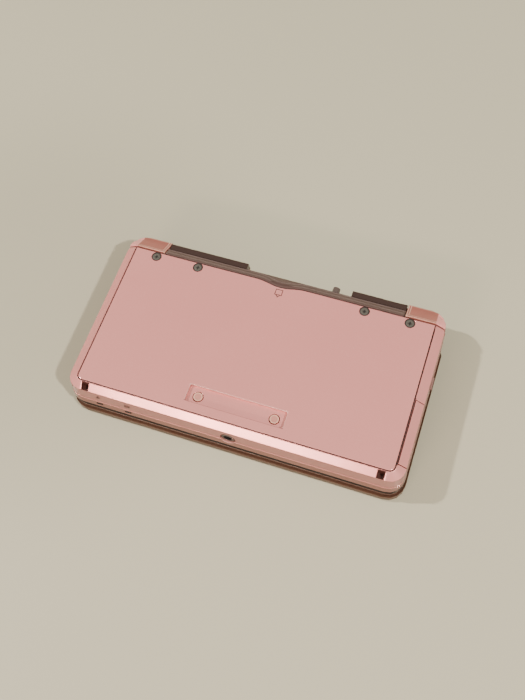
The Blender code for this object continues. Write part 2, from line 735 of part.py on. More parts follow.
def make_finishes():
    """The finishes of the pieces, with the colours of the photographed console."""
    return {
        "pearl": material("pearl_pink", (0.63, 0.38, 0.35), 0.35),
        "rose": material("rose_shell", (0.30, 0.15, 0.12), 0.35),
        "brown": material("brown_lid", (0.19, 0.09, 0.07), 0.25),
        "clear": material("clear_cover", (0.55, 0.42, 0.38), 0.08, alpha=0.35),
        "salmon": material("clear_salmon", (0.55, 0.25, 0.20), 0.15, alpha=0.85),
        "black": material("gloss_black", (0.012, 0.011, 0.011), 0.10),
        "glass": material("screen_glass", (0.02, 0.022, 0.025), 0.03),
        "panel": material("panel_backing", (0.10, 0.10, 0.11), 0.5, metallic=0.4),
        "key": material("key_plastic", (0.32, 0.17, 0.14), 0.4),
        "pad": material("pad_grey", (0.20, 0.19, 0.19), 0.55),
        "rubber": material("grey_rubber", (0.15, 0.14, 0.14), 0.8),
        "board": material("circuit_board", (0.02, 0.10, 0.05), 0.5),
        "tin": material("tinned_sheet", (0.55, 0.55, 0.56), 0.3, metallic=1.0),
        "steel": material("dark_steel", (0.22, 0.20, 0.18), 0.4, metallic=1.0),
        "gold": material("gold_contact", (0.72, 0.52, 0.25), 0.3, metallic=1.0),
        "cell": material("battery_wrap", (0.25, 0.26, 0.28), 0.5),
        "socket": material("socket_black", (0.03, 0.03, 0.03), 0.5),
        "film": material("flexible_film", (0.42, 0.22, 0.06), 0.35),
        "amber": material("light_pipe", (0.75, 0.70, 0.62), 0.2, alpha=0.6),
    }


def lid_cover(finish):
    """Clear outer tray of the lid, rounded along its lower edge, with two camera ports."""
    rings = []
    for step in range(LID_EDGE_STEPS + 1):
        angle = math.pi / 2 * step / LID_EDGE_STEPS
        inset = LID_EDGE_ROUND * (1 - math.sin(angle))
        rings.append(level(lid_outline(inset), LID_EDGE_ROUND * (1 - math.cos(angle))))
    rings.append(level(lid_outline(0), LID_COVER_RIM))
    cover = piece("lid_cover", loft(*rings), finish["clear"])
    cut(cover, prism(lid_outline(LID_COVER_WALL), LID_COVER_FLOOR, LID_COVER_RIM + OVERRUN))
    port = CAMERA_WINDOW + CLEARANCE
    cut(
        cover,
        rod((CAMERA_X, CAMERA_Y, 0), port, -OVERRUN, LID_COVER_FLOOR + OVERRUN),
        rod((-CAMERA_X, CAMERA_Y, 0), port, -OVERRUN, LID_COVER_FLOOR + OVERRUN),
    )


def lid_shell(finish):
    """Inner shell of the lid, with the hinge barrel along its rear edge."""
    rim = LID_COVER_RIM + CLEARANCE
    shell = piece(
        "lid_shell",
        loft(
            level(lid_outline(LID_SHELL_INSET), LID_SHELL_BOTTOM),
            level(lid_outline(LID_SHELL_INSET), rim),
            level(lid_outline(LID_SHELL_SETBACK), rim),
            level(lid_outline(LID_SHELL_SETBACK), LID_SHELL_TOP),
        ),
        finish["brown"],
    )
    pocket = prism(lid_outline(LID_POCKET_INSET), LID_INSIDE - CLEARANCE, LID_SHELL_TOP + OVERRUN)
    cut(shell, pocket)
    neck_front = LID_REAR - NECK_ROOT
    neck_step = LID_REAR - LID_SHELL_SETBACK + CLEARANCE
    neck = [
        (neck_front, NECK_LOW),
        (HINGE_Y, NECK_LOW),
        (HINGE_Y, NECK_LOW + NECK_THICKNESS),
        (neck_step, NECK_LOW + NECK_THICKNESS),
        (neck_step, LID_SHELL_TOP),
        (neck_front, LID_SHELL_TOP),
    ]
    hinge = (0, HINGE_Y, HINGE_Z)
    add(shell, bar(neck, CLEARANCE - BARREL_HALF_LENGTH, BARREL_HALF_LENGTH - CLEARANCE))
    add(shell, rod(hinge, BARREL_RADIUS, -BARREL_HALF_LENGTH, BARREL_HALF_LENGTH, "X"))
    clutch_bore = BARREL_RADIUS - CLUTCH_WALL
    mouth = BARREL_HALF_LENGTH + OVERRUN
    cut(
        shell,
        rod(hinge, clutch_bore, BARREL_HALF_LENGTH - CLUTCH_LENGTH - CLEARANCE, mouth, "X"),
        rod(hinge, CABLE_RADIUS + CLEARANCE, -mouth, CABLE_IN_BARREL - BARREL_HALF_LENGTH, "X"),
    )
    port = CAMERA_RADIUS + CLEARANCE
    cut(
        shell,
        rod((CAMERA_X, CAMERA_Y, 0), port, 0, LID_INSIDE),
        rod((-CAMERA_X, CAMERA_Y, 0), port, 0, LID_INSIDE),
    )


def depth_slot_rear():
    return DEPTH_SLOT_FRONT + DEPTH_KNOB_LENGTH + DEPTH_TRAVEL + 2 * CLEARANCE


def lid_bezel(finish):
    """Glossy front panel of the lid, with the screen's window, sound slots and bumpers."""
    shoulder = LID_TOP - BEZEL_EDGE
    bezel = piece(
        "lid_bezel",
        loft(
            level(lid_outline(LID_SHELL_SETBACK), BEZEL_BOTTOM),
            level(lid_outline(LID_SHELL_SETBACK), shoulder),
            level(lid_outline(LID_SHELL_SETBACK + BEZEL_EDGE), LID_TOP),
        ),
        finish["black"],
    )
    recess = lid_outline(LID_SHELL_SETBACK + BEZEL_BORDER)
    window = centred_outline(0, UPPER_SCREEN_Y, *upper_window_size(), WINDOW_CORNER)
    below, above = BEZEL_BOTTOM - OVERRUN, LID_TOP + OVERRUN
    cut(bezel, prism(recess, BEZEL_FACE, above))
    slots = [centred_outline(x, y, GRILLE_LENGTH, GRILLE_WIDTH) for x, y in grille_places()]
    cut(
        bezel,
        prism(window, below, above),
        rod((0, CAMERA_Y, 0), INNER_CAMERA_RADIUS + CLEARANCE, below, above),
        *(prism(slot, below, above) for slot in slots),
    )
    bumpers = mirrored_places(BUMPER_X, (BUMPER_FRONT_Y, BUMPER_REAR_Y))
    bumper = (BUMPER_RADIUS, BEZEL_FACE - BEZEL_EDGE, LID_TOP + BUMPER_RISE)
    add(bezel, *(rod((*place, 0), *bumper, steps=SMALL_ROUND_STEPS) for place in bumpers))
    outside = OVERRUN - (LID_HALF_WIDTH - LID_SHELL_SETBACK)
    slot_inner = DEPTH_SLOT_WIDTH - (LID_HALF_WIDTH - LID_SHELL_SETBACK)
    foot_outer = slot_inner - DEPTH_FOOT_WIDTH - 2 * CLEARANCE
    slot_floor = BEZEL_BOTTOM + DEPTH_SLOT_FLOOR
    slot_span = (DEPTH_SLOT_FRONT, depth_slot_rear())
    cut(bezel, block(-LID_HALF_WIDTH, slot_inner, *slot_span, slot_floor, above))
    cut(bezel, block(foot_outer, slot_inner + CLEARANCE, *slot_span, below, above))


def upper_window_size():
    return UPPER_LCD_WIDTH - 2 * UPPER_WINDOW_BORDER_X, UPPER_LCD_DEPTH - 2 * UPPER_WINDOW_BORDER_Y


def grille_places():
    """Middles of the sound slots, on both sides of the screen."""
    first = SPEAKER_Y - GRILLE_PITCH * (GRILLE_SLOTS - 1) / 2
    return mirrored_places(SPEAKER_X, [first + GRILLE_PITCH * row for row in range(GRILLE_SLOTS)])


def upper_screen(finish):
    """Screen module of the lid and the glass in front of it."""
    module = centred_outline(0, UPPER_SCREEN_Y, UPPER_LCD_WIDTH, UPPER_LCD_DEPTH, WINDOW_CORNER)
    piece("upper_lcd", prism(module, LID_INSIDE, LID_SHELL_TOP), finish["panel"])
    width, depth = upper_window_size()
    glass = centred_outline(
        0,
        UPPER_SCREEN_Y,
        width - 2 * CLEARANCE,
        depth - 2 * CLEARANCE,
        WINDOW_CORNER - CLEARANCE,
    )
    piece("upper_screen_window", prism(glass, BEZEL_BOTTOM, BEZEL_FACE), finish["glass"])


def speakers(finish):
    """One speaker on each side of the upper screen, with a dished cone."""
    for name, side in (("left_speaker", 1), ("right_speaker", -1)):
        body = centred_outline(
            side * SPEAKER_X, SPEAKER_Y, SPEAKER_WIDTH, SPEAKER_DEPTH, SPEAKER_CORNER
        )
        speaker = piece(name, prism(body, LID_INSIDE, LID_SHELL_TOP), finish["socket"])
        dish = [
            (0, LID_SHELL_TOP - SPEAKER_DISH),
            (SPEAKER_CONE / 2, LID_SHELL_TOP - SPEAKER_DISH),
            (SPEAKER_CONE, LID_SHELL_TOP),
            (SPEAKER_CONE, LID_TOP),
            (0, LID_TOP),
        ]
        cut(speaker, turned(dish, (side * SPEAKER_X, SPEAKER_Y, 0)))


def cameras(finish):
    """Camera board with two outer lens barrels and an inner one, and the outer windows."""
    low = LID_INSIDE + CAMERA_BOARD_LEVEL
    high = low + CAMERA_BOARD_THICKNESS
    middle = (low + high) / 2
    board = centred_outline(0, CAMERA_Y, 2 * CAMERA_BOARD_HALF_LENGTH, CAMERA_BOARD_DEPTH)
    module = piece("camera_module", prism(board, low, high), finish["socket"])
    face = LID_COVER_FLOOR + CLEARANCE
    outer = [
        (0, face + CAMERA_DISH),
        (CAMERA_LENS_RADIUS, face + CAMERA_DISH),
        (CAMERA_LENS_RADIUS, face),
        (CAMERA_RADIUS, face),
        (CAMERA_RADIUS, middle),
        (0, middle),
    ]
    face = BEZEL_FACE - CLEARANCE
    inner = [
        (0, middle),
        (INNER_CAMERA_RADIUS, middle),
        (INNER_CAMERA_RADIUS, face),
        (CAMERA_LENS_RADIUS, face),
        (CAMERA_LENS_RADIUS, face - CAMERA_DISH),
        (0, face - CAMERA_DISH),
    ]
    add(
        module,
        turned(outer, (CAMERA_X, CAMERA_Y, 0)),
        turned(outer, (-CAMERA_X, CAMERA_Y, 0)),
        turned(inner, (0, CAMERA_Y, 0)),
    )
    window_low = LID_COVER_FLOOR - CAMERA_WINDOW_THICKNESS
    for name, side in (("left_camera_window", 1), ("right_camera_window", -1)):
        centre = (side * CAMERA_X, CAMERA_Y, 0)
        piece(name, rod(centre, CAMERA_WINDOW, window_low, LID_COVER_FLOOR), finish["glass"])


def depth_slider(finish):
    """Slider in the lid's right edge, with a foot through the slot's floor."""
    outer = -(LID_HALF_WIDTH - LID_SHELL_SETBACK)
    inner = outer + DEPTH_SLOT_WIDTH - CLEARANCE
    front = DEPTH_SLOT_FRONT + CLEARANCE
    rear = front + DEPTH_KNOB_LENGTH
    low = BEZEL_BOTTOM + DEPTH_SLOT_FLOOR + CLEARANCE
    axis = joint_axis("depth_slider_axis", (inner, front + DEPTH_KNOB_LENGTH / 2, low))
    knob = piece(
        "depth_slider", block(outer, inner, front, rear, low, LID_TOP), finish["pad"], axis
    )
    middle = front + DEPTH_KNOB_LENGTH / 2
    foot_front = middle - DEPTH_FOOT_LENGTH / 2
    foot = block(
        inner - DEPTH_FOOT_WIDTH,
        inner,
        foot_front,
        foot_front + DEPTH_FOOT_LENGTH,
        low - DEPTH_FOOT_HEIGHT,
        low + BEZEL_RECESS,
    )
    add(knob, foot)


def hinge_parts(finish, base):
    """Friction clutch in the barrel's left end, its shaft, and the rolled cable in the right end."""
    hinge = (0, HINGE_Y, HINGE_Z)
    start = BARREL_HALF_LENGTH - CLUTCH_LENGTH
    end = BARREL_HALF_LENGTH - CLEARANCE
    clutch = piece(
        "hinge_clutch",
        rod(hinge, BARREL_RADIUS - CLUTCH_WALL - CLEARANCE, start, end, "X"),
        finish["steel"],
    )
    bore_end = BARREL_HALF_LENGTH - SHAFT_IN_CLUTCH
    mouth = BARREL_HALF_LENGTH + OVERRUN
    cut(clutch, rod(hinge, SHAFT_RADIUS + CLEARANCE, bore_end - CLEARANCE, mouth, "X"))
    shaft = rod(hinge, SHAFT_RADIUS, bore_end, KNUCKLE_START + SHAFT_IN_KNUCKLE, "X")
    piece("hinge_shaft", shaft, finish["steel"], base)
    cable = rod(
        hinge,
        CABLE_RADIUS,
        -(KNUCKLE_START + CABLE_IN_KNUCKLE),
        CABLE_IN_BARREL - BARREL_HALF_LENGTH - CLEARANCE,
        "X",
    )
    piece("hinge_cable", cable, finish["film"])


def shell_screw_places():
    front = mirrored_places(SHELL_SCREW_FRONT_X, (SHELL_SCREW_FRONT_Y,))
    return front + mirrored_places(SHELL_SCREW_REAR_X, (SHELL_SCREW_REAR_Y,))


def cover_screw_places():
    return [place for x in COVER_SCREW_XS for place in mirrored_places(x, (COVER_SCREW_Y,))]


def face_key_places():
    """The four round keys of the right-hand field, by their place in the diamond."""
    x, y = -FIELD_X, FIELD_REAR_Y
    return {
        "button_a": (x - FACE_KEY_PITCH, y),
        "button_b": (x, y - FACE_KEY_PITCH),
        "button_x": (x, y + FACE_KEY_PITCH),
        "button_y": (x + FACE_KEY_PITCH, y),
    }


def menu_key_places():
    return {
        "select_button": (MENU_KEY_PITCH, MENU_KEY_Y),
        "home_button": (0, MENU_KEY_Y),
        "start_button": (-MENU_KEY_PITCH, MENU_KEY_Y),
    }


def cross_outline(x, y, grow):
    """A plus with rounded arm ends, grown on every side."""
    arm, half = D_PAD_ARM + grow, D_PAD_WIDTH / 2 + grow
    points = []
    for quarter in range(4):
        turn = Matrix.Rotation(quarter * math.pi / 2, 2)
        centre_x, centre_y = arm - D_PAD_CORNER, half - D_PAD_CORNER
        for end, start in ((-1, -math.pi / 2), (1, 0.0)):
            for step in range(D_PAD_CORNER_STEPS + 1):
                angle = start + math.pi / 2 * step / D_PAD_CORNER_STEPS
                corner = Vector((math.cos(angle), math.sin(angle))) * D_PAD_CORNER
                points.append(turn @ (Vector((centre_x, end * centre_y)) + corner))
        points.append(turn @ Vector((half, half)))
    return [(x + point.x, y + point.y) for point in points]


def control_shell(finish, base):
    """Shell around the controls, with the hinge's trough and end knuckles and the port blocks."""
    seam_corner = CASE_CORNER + LID_SEAM_DRAFT
    shell = piece(
        "control_shell",
        loft(
            level(
                case_outline(
                    CONTROL_EDGE - LID_SEAM_DRAFT,
                    CONTROL_EDGE - LID_SEAM_DRAFT_FRONT,
                    CONTROL_REAR - CONTROL_EDGE,
                    seam_corner - CONTROL_EDGE,
                ),
                BASE_BOTTOM,
            ),
            level(
                case_outline(-LID_SEAM_DRAFT, -LID_SEAM_DRAFT_FRONT, CONTROL_REAR, seam_corner),
                BASE_BOTTOM + CONTROL_EDGE,
            ),
            level(case_outline(0, 0, CONTROL_REAR, CASE_CORNER), REAR_LEVEL),
        ),
        finish["rose"],
        base,
    )
    wide, above = CASE_HALF_WIDTH + OVERRUN, TOP + OVERRUN
    pocket_corner = CASE_CORNER - CASE_WALL
    half = CASE_HALF_WIDTH - CASE_WALL
    front = CASE_FRONT + CASE_WALL
    pocket = outline(-half, half, front, REAR_SOLID_FRONT, (pocket_corner, pocket_corner, 0, 0))
    cut(shell, block(-wide, wide, LID_FRONT - OVERRUN, REAR_SOLID_FRONT, PARTING, above))
    cut(shell, prism(pocket, PLATE_INSIDE, above))
    boss_low = CONTROL_FACE + CONTROL_RECESS
    hole = SHELL_SCREW_SHANK + CLEARANCE
    places = [(x, y, 0) for x, y in shell_screw_places()]
    add(shell, *(rod(place, SHELL_SCREW_BOSS, boss_low, LCD_TOP) for place in places))
    cut(shell, *(rod(place, hole, PLATE_INSIDE, above) for place in places))
    cut_hinge_trough(shell)
    add_port_blocks(shell)
    cut_controls(shell)
    cut_shell_edges(shell)


def cut_hinge_trough(shell):
    """The trough that the lid's barrel turns in, and the knuckles at its ends."""
    hinge = (0, HINGE_Y, HINGE_Z)
    half = BARREL_HALF_LENGTH + CLEARANCE
    low = BASE_BOTTOM - OVERRUN
    rear = CONTROL_REAR + OVERRUN
    open_top = HINGE_Z + TROUGH_OPEN_HEIGHT
    cut(shell, block(-half, half, HINGE_Y, rear, low, open_top))
    cut(shell, rod(hinge, TROUGH_RADIUS, -half, half, "X"))
    add(
        shell,
        rod(hinge, BARREL_RADIUS, half, half + KNUCKLE_LENGTH, "X"),
        rod(hinge, BARREL_RADIUS, -half - KNUCKLE_LENGTH, -half, "X"),
    )
    cut(
        shell,
        rod(hinge, SHAFT_RADIUS + CLEARANCE, half - OVERRUN, half + SHAFT_IN_KNUCKLE + CLEARANCE, "X"),
        rod(
            hinge, CABLE_RADIUS + CLEARANCE, -(half + CABLE_IN_KNUCKLE + CLEARANCE), OVERRUN - half, "X"
        ),
    )


def port_height():
    return REAR_LEVEL + PORT_BASE


def add_port_blocks(shell):
    """The two dark blocks behind the rear wall, with the power connector's opening."""
    top = REAR_LEVEL + BLOCK_HEIGHT
    front = REAR_WALL + CLEARANCE
    foot = REAR_LEVEL - TROUGH_ROOF / 2
    rear_face = CONTROL_REAR - CLEARANCE / 2
    section = [
        (front, foot),
        (rear_face, foot),
        (rear_face, REAR_LEVEL + BLOCK_SHOULDER_DROP),
        (BLOCK_REAR_SHOULDER, top - BLOCK_SHOULDER_DROP),
        (BLOCK_REAR_TOP, top),
        (front, top),
    ]
    add(
        shell,
        bar(section, BLOCK_INNER_LEFT, BLOCK_OUTER),
        bar(section, -BLOCK_OUTER, -BLOCK_INNER_RIGHT),
    )
    below, rear = BASE_BOTTOM - OVERRUN, CONTROL_REAR + OVERRUN
    hole = SHOULDER_PIN_RADIUS + CLEARANCE
    low = REAR_LEVEL - SHOULDER_PIN_DEPTH - CLEARANCE
    cut(
        shell,
        block(-BLOCK_INNER_RIGHT, BLOCK_INNER_LEFT, CENTRE_REAR, rear, below, TOP),
        power_port_space(rear),
        rod((SHOULDER_PIVOT_X, SHOULDER_PIVOT_Y, 0), hole, low, TOP, steps=SMALL_ROUND_STEPS),
        rod((-SHOULDER_PIVOT_X, SHOULDER_PIVOT_Y, 0), hole, low, TOP, steps=SMALL_ROUND_STEPS),
    )


def power_port_space(rear):
    """The space of the power connector through the rear of the base."""
    half = POWER_PORT_WIDTH / 2 + CLEARANCE
    low, high = port_height() - CLEARANCE, port_height() + POWER_PORT_HEIGHT + CLEARANCE
    return block(POWER_PORT_X - half, POWER_PORT_X + half, REAR_SOLID_FRONT, rear, low, high)


def cut_controls(shell):
    """The recessed face and the openings for the screen and the keys."""
    rim = CONTROL_RIM
    recess = case_outline(rim, rim, REAR_SOLID_FRONT - CASE_WALL, CASE_CORNER - rim)
    below, above = BASE_BOTTOM - OVERRUN, PLATE_INSIDE + OVERRUN
    width, depth = touch_window_size()
    window = centred_outline(0, lower_screen_y(), width, depth, WINDOW_CORNER)
    cut(shell, prism(recess, below, CONTROL_FACE))
    face_hole = FACE_KEY_RADIUS + CLEARANCE
    menu_size = (MENU_KEY_WIDTH + 2 * CLEARANCE, MENU_KEY_DEPTH + 2 * CLEARANCE, MENU_KEY_CORNER)
    menu_holes = [centred_outline(*place, *menu_size) for place in menu_key_places().values()]
    cut(
        shell,
        prism(window, below, above),
        rod((FIELD_X, FIELD_REAR_Y, 0), CIRCLE_HOLE_RADIUS, below, above),
        prism(cross_outline(FIELD_X, D_PAD_Y, D_PAD_PLAY), below, above),
        rod((POWER_KEY_X, POWER_KEY_Y, 0), POWER_KEY_RADIUS + CLEARANCE, below, above),
        *(rod((*place, 0), face_hole, below, above) for place in face_key_places().values()),
        *(prism(hole, below, above) for hole in menu_holes),
    )


def cut_shell_edges(shell):
    """Openings in the side and front walls: slides, lights and the headphone jack."""
    far = CASE_HALF_WIDTH + OVERRUN + LID_SEAM_DRAFT
    near = CASE_HALF_WIDTH - CASE_WALL - OVERRUN
    low = KEY_LEVEL + SIDE_KNOB_LOW - CLEARANCE
    high = low + SIDE_KNOB_HEIGHT + 2 * CLEARANCE
    volume_rear = VOLUME_Y + VOLUME_LENGTH + VOLUME_TRAVEL + CLEARANCE
    switch_rear = WIRELESS_SWITCH_Y + WIRELESS_SWITCH_LENGTH + WIRELESS_SWITCH_TRAVEL + CLEARANCE
    front, inside = LID_FRONT, CASE_FRONT + CASE_WALL + OVERRUN
    half = LIGHT_WIDTH / 2 + CLEARANCE
    light_low, light_high = KEY_LEVEL - CLEARANCE / 2, KEY_LEVEL + LIGHT_HEIGHT + CLEARANCE
    cut(
        shell,
        block(near, far, VOLUME_Y - CLEARANCE, volume_rear, low, high),
        block(-far, -near, WIRELESS_SWITCH_Y - CLEARANCE, switch_rear, low, high),
        jack_hole(),
        *(block(x - half, x + half, front, inside, light_low, light_high) for x in LIGHT_XS),
    )


def jack_hole():
    return rod(
        (0, CASE_FRONT, JACK_Z), JACK_RADIUS + CLEARANCE, -OVERRUN, CASE_WALL + OVERRUN, "Y"
    )


def bottom_shell(finish, base):
    """Chamfered shell of the base, with the recess for the bottom cover and the rear wall."""
    start = PARTING + CLEARANCE
    shell = piece(
        "bottom_shell",
        loft(
            level(case_outline(0, 0, REAR_WALL, CASE_CORNER), start),
            level(
                case_outline(
                    CHAMFER_DRAFT, CHAMFER_DRAFT_FRONT, REAR_WALL, CASE_CORNER - CHAMFER_DRAFT
                ),
                CHAMFER_LEVEL,
            ),
            level(
                case_outline(
                    CHAMFER_DRAFT + CHAMFER_INSET,
                    CHAMFER_DRAFT_FRONT + CHAMFER_INSET_FRONT,
                    REAR_LIP,
                    FRAME_CORNER,
                ),
                TOP,
            ),
        ),
        finish["pearl"],
        base,
    )
    below, above = start - OVERRUN, TOP + OVERRUN
    cut_bottom_pockets(shell, below)
    add_bottom_bosses(shell)
    cut(shell, prism(cover_outline(CLEARANCE), FLOOR_TOP, above))
    wide, rear = CASE_HALF_WIDTH + OVERRUN, SHOULDER_REAR + OVERRUN
    cut(shell, block(-wide, wide, REAR_SOLID_FRONT - CLEARANCE, rear, below, REAR_LEVEL + CLEARANCE))
    cavity = (SHOULDER_CAVITY_FRONT, rear, REAR_LEVEL, above)
    cut(
        shell,
        block(SHOULDER_CAVITY_INNER, wide, *cavity),
        block(-wide, -SHOULDER_CAVITY_INNER, *cavity),
    )
    cut_screw_holes(shell, below, above)
    cut_bottom_openings(shell, above)
    cut_door_frame(shell, below, above)


def floor_middle():
    return (FLOOR_TOP + FLOOR_BOTTOM) / 2


def cut_bottom_pockets(shell, below):
    """The inside of the bottom shell, deeper to the rear between the shoulder buttons."""
    half = CASE_HALF_WIDTH - CASE_WALL - CHAMFER_DRAFT
    front = CASE_FRONT + CASE_WALL + CHAMFER_DRAFT_FRONT
    corner = CASE_CORNER - CASE_WALL
    inner = SHOULDER_CAVITY_INNER - CASE_WALL
    side_rear = SHOULDER_CAVITY_FRONT - CASE_WALL
    rear = REAR_WALL - CASE_WALL
    plan = outline(-half, half, front, side_rear, (corner, corner, 0, 0))
    recess = [(inner, side_rear), (inner, rear), (-inner, rear), (-inner, side_rear)]
    cut(shell, prism(plan[:-1] + recess + plan[-1:], below, FLOOR_BOTTOM))


def add_bottom_bosses(shell):
    """Screw bosses, the boxes around the strap holes and the lugs of the memory card's door."""
    middle = floor_middle()
    cover_low = FLOOR_BOTTOM - COVER_BOSS_LENGTH
    front, rear = DOOR_FRONT, DOOR_REAR
    low, high = DOOR_AXIS_Z - DOOR_SWEEP + CLEARANCE, DOOR_AXIS_Z + DOOR_SWEEP
    lug_inner = DOOR_AXIS_X - DOOR_BARREL - CLEARANCE
    lug_outer = CASE_HALF_WIDTH - CASE_WALL + CLEARANCE
    box_half = STRAP_WIDTH / 2 + STRAP_WALL
    box_front = CASE_FRONT + CASE_WALL
    box_low = TOP - STRAP_DEPTH - STRAP_WALL
    add(
        shell,
        *(rod((*place, 0), COVER_BOSS_RADIUS, cover_low, middle) for place in cover_screw_places()),
        *(rod((*place, 0), SHELL_SCREW_BOSS, SOCKET_LEVEL, middle) for place in shell_screw_places()),
        block(lug_inner, lug_outer, front - DOOR_LUG, front, low, high),
        block(lug_inner, lug_outer, rear, rear + DOOR_LUG, low, high),
        *(
            block(x - box_half, x + box_half, box_front, STRAP_REAR + STRAP_WALL, box_low, middle)
            for x in (-STRAP_X, STRAP_X)
        ),
    )


def cut_screw_holes(shell, below, above):
    """Holes for the screws, the strap, the charging contacts and the shoulder switches."""
    seat = FLOOR_TOP - SHELL_SCREW_HEAD_HEIGHT - CLEARANCE
    stepped = stepped_hole(SHELL_SCREW_HEAD, SHELL_SCREW_SHANK, below, seat, above)
    cover_hole = COVER_SCREW_SHANK + CLEARANCE
    cover_low = FLOOR_BOTTOM - COVER_BOSS_LENGTH + COVER_BOSS_END
    contact_hole = CONTACT_RADIUS + CLEARANCE
    plunger_hole = SHOULDER_PLUNGER_RADIUS + CLEARANCE
    half = STRAP_WIDTH / 2
    strap_low = TOP - STRAP_DEPTH
    floor_low = FLOOR_BOTTOM - OVERRUN
    wall = CASE_WALL + OVERRUN
    plungers = [
        (side * SHOULDER_SWITCH_X, SHOULDER_CAVITY_FRONT, shoulder_plunger_z()) for side in (-1, 1)
    ]
    cut(
        shell,
        *(rod((*place, 0), cover_hole, cover_low, above) for place in cover_screw_places()),
        *(turned(stepped, (*place, 0)) for place in shell_screw_places()),
        *(
            block(x - half, x + half, STRAP_FRONT, STRAP_REAR, strap_low, above)
            for x in (-STRAP_X, STRAP_X)
        ),
        *(rod(place, plunger_hole, -wall, OVERRUN, "Y") for place in plungers),
        rod((CONTACT_X, CONTACT_Y, 0), contact_hole, floor_low, above),
        rod((-CONTACT_X, CONTACT_Y, 0), contact_hole, floor_low, above),
    )


def cut_bottom_openings(shell, above):
    """Openings under the cover and through the front and rear walls."""
    rear = REAR_WALL + OVERRUN
    floor_low = FLOOR_BOTTOM - OVERRUN
    socket_half = CARD_SOCKET_WIDTH / 2 + CLEARANCE
    battery_size = (BATTERY_WIDTH + 2 * CLEARANCE, BATTERY_DEPTH + 2 * CLEARANCE)
    battery = centred_outline(BATTERY_X, BATTERY_Y, *battery_size, BATTERY_CORNER)
    socket = outline(
        CARD_SOCKET_X - socket_half,
        CARD_SOCKET_X + socket_half,
        CARD_SOCKET_FRONT - CLEARANCE,
        card_socket_rear() + CLEARANCE,
    )
    cut(shell, prism(battery, floor_low, above), prism(socket, floor_low, above))
    passage = block(
        CARD_SOCKET_X - CARD_PASSAGE_HALF_WIDTH,
        CARD_SOCKET_X + CARD_PASSAGE_HALF_WIDTH,
        REAR_WALL - CASE_WALL - OVERRUN,
        rear,
        REAR_LEVEL,
        FLOOR_BOTTOM - CLEARANCE / 2,
    )
    bore = rod(
        (STYLUS_X, REAR_WALL, STYLUS_Z),
        STYLUS_RADIUS + CLEARANCE,
        -CASE_WALL - OVERRUN,
        OVERRUN,
        "Y",
    )
    cut(
        shell,
        passage,
        bore,
        power_port_space(rear),
        jack_hole(),
    )


def cut_door_frame(shell, below, above):
    """The gap for the memory card's door, and the holes that its pintles turn in."""
    front, rear = DOOR_FRONT - CLEARANCE, DOOR_REAR + CLEARANCE
    inner = door_inner() - CLEARANCE
    cut(shell, block(inner, CASE_HALF_WIDTH + OVERRUN, front, rear, below, above))
    hole = DOOR_PINTLE + CLEARANCE
    reach = DOOR_PINTLE_LENGTH + CLEARANCE
    centre = (DOOR_AXIS_X, 0, DOOR_AXIS_Z)
    cut(
        shell,
        rod(centre, hole, front - reach, front + OVERRUN, "Y", SMALL_ROUND_STEPS),
        rod(centre, hole, rear - OVERRUN, rear + reach, "Y", SMALL_ROUND_STEPS),
    )


def door_inner():
    """Where the door's upper edge meets the frame around the bottom cover."""
    return CASE_HALF_WIDTH - CHAMFER_DRAFT - CHAMFER_INSET + CLEARANCE / 2


def bottom_cover(finish, base):
    """Screwed cover over the battery, with its finger notch and the contact slot."""
    edge = TOP - COVER_EDGE
    cover = piece(
        "bottom_cover",
        loft(
            level(cover_outline(0), COVER_BOTTOM),
            level(cover_outline(0), edge),
            level(cover_outline(-COVER_EDGE), TOP),
        ),
        finish["pearl"],
        base,
    )
    below, above = COVER_BOTTOM - OVERRUN, TOP + OVERRUN
    slot = outline(
        -CONTACT_SLOT_HALF_WIDTH,
        CONTACT_SLOT_HALF_WIDTH,
        CONTACT_SLOT_FRONT,
        CONTACT_SLOT_REAR,
        (WINDOW_CORNER,) * 4,
    )
    seat = COVER_BOTTOM + COVER_SCREW_SEAT
    head = COVER_SCREW_HEAD - CLEARANCE / 2
    stepped = stepped_hole(head, COVER_SCREW_SHANK, below, seat, above)
    cut(
        cover,
        prism(slot, below, above),
        *(turned(stepped, (*place, 0)) for place in cover_screw_places()),
    )


def screw_name(kind, x, y):
    """A screw's name, from its place as seen by someone who holds the open console."""
    side = "left" if x > 0 else "right"
    if kind == "cover":
        return f"cover_screw_{side}_{'outer' if abs(x) > COVER_SCREW_XS[1] else 'inner'}"
    return f"shell_screw_{side}_{'rear' if y > 0 else 'front'}"


def base_fasteners(finish, base):
    """Screws of the bottom cover, and those under it that hold the two shells together."""
    head = COVER_SCREW_HEAD - CLEARANCE / 2
    head_top = COVER_BOTTOM + COVER_SCREW_SEAT + CLEARANCE + COVER_SCREW_HEAD_HEIGHT
    for place in cover_screw_places():
        shape = screw(
            place,
            head,
            COVER_SCREW_HEAD_HEIGHT,
            COVER_SCREW_SHANK,
            head_top,
            COVER_SCREW_LENGTH,
            ROUND_STEPS,
        )
        obj = piece(screw_name("cover", *place), shape, finish["steel"], base)
        cut(obj, drive_slots(place, head_top))
    length = FLOOR_TOP - SHELL_SCREW_HEAD_HEIGHT - LCD_TOP + SHELL_SCREW_BITE
    for place in shell_screw_places():
        shape = screw(
            place, SHELL_SCREW_HEAD, SHELL_SCREW_HEAD_HEIGHT, SHELL_SCREW_SHANK, FLOOR_TOP, length
        )
        piece(screw_name("shell", *place), shape, finish["steel"], base)


def touch_window_size():
    return LOWER_LCD_WIDTH - 2 * TOUCH_WINDOW_BORDER_X, LOWER_LCD_DEPTH - 2 * TOUCH_WINDOW_BORDER_Y


def lower_screen_y():
    """The lower screen lies against the wall of the hinge's trough."""
    return REAR_SOLID_FRONT - CLEARANCE - LOWER_LCD_DEPTH / 2


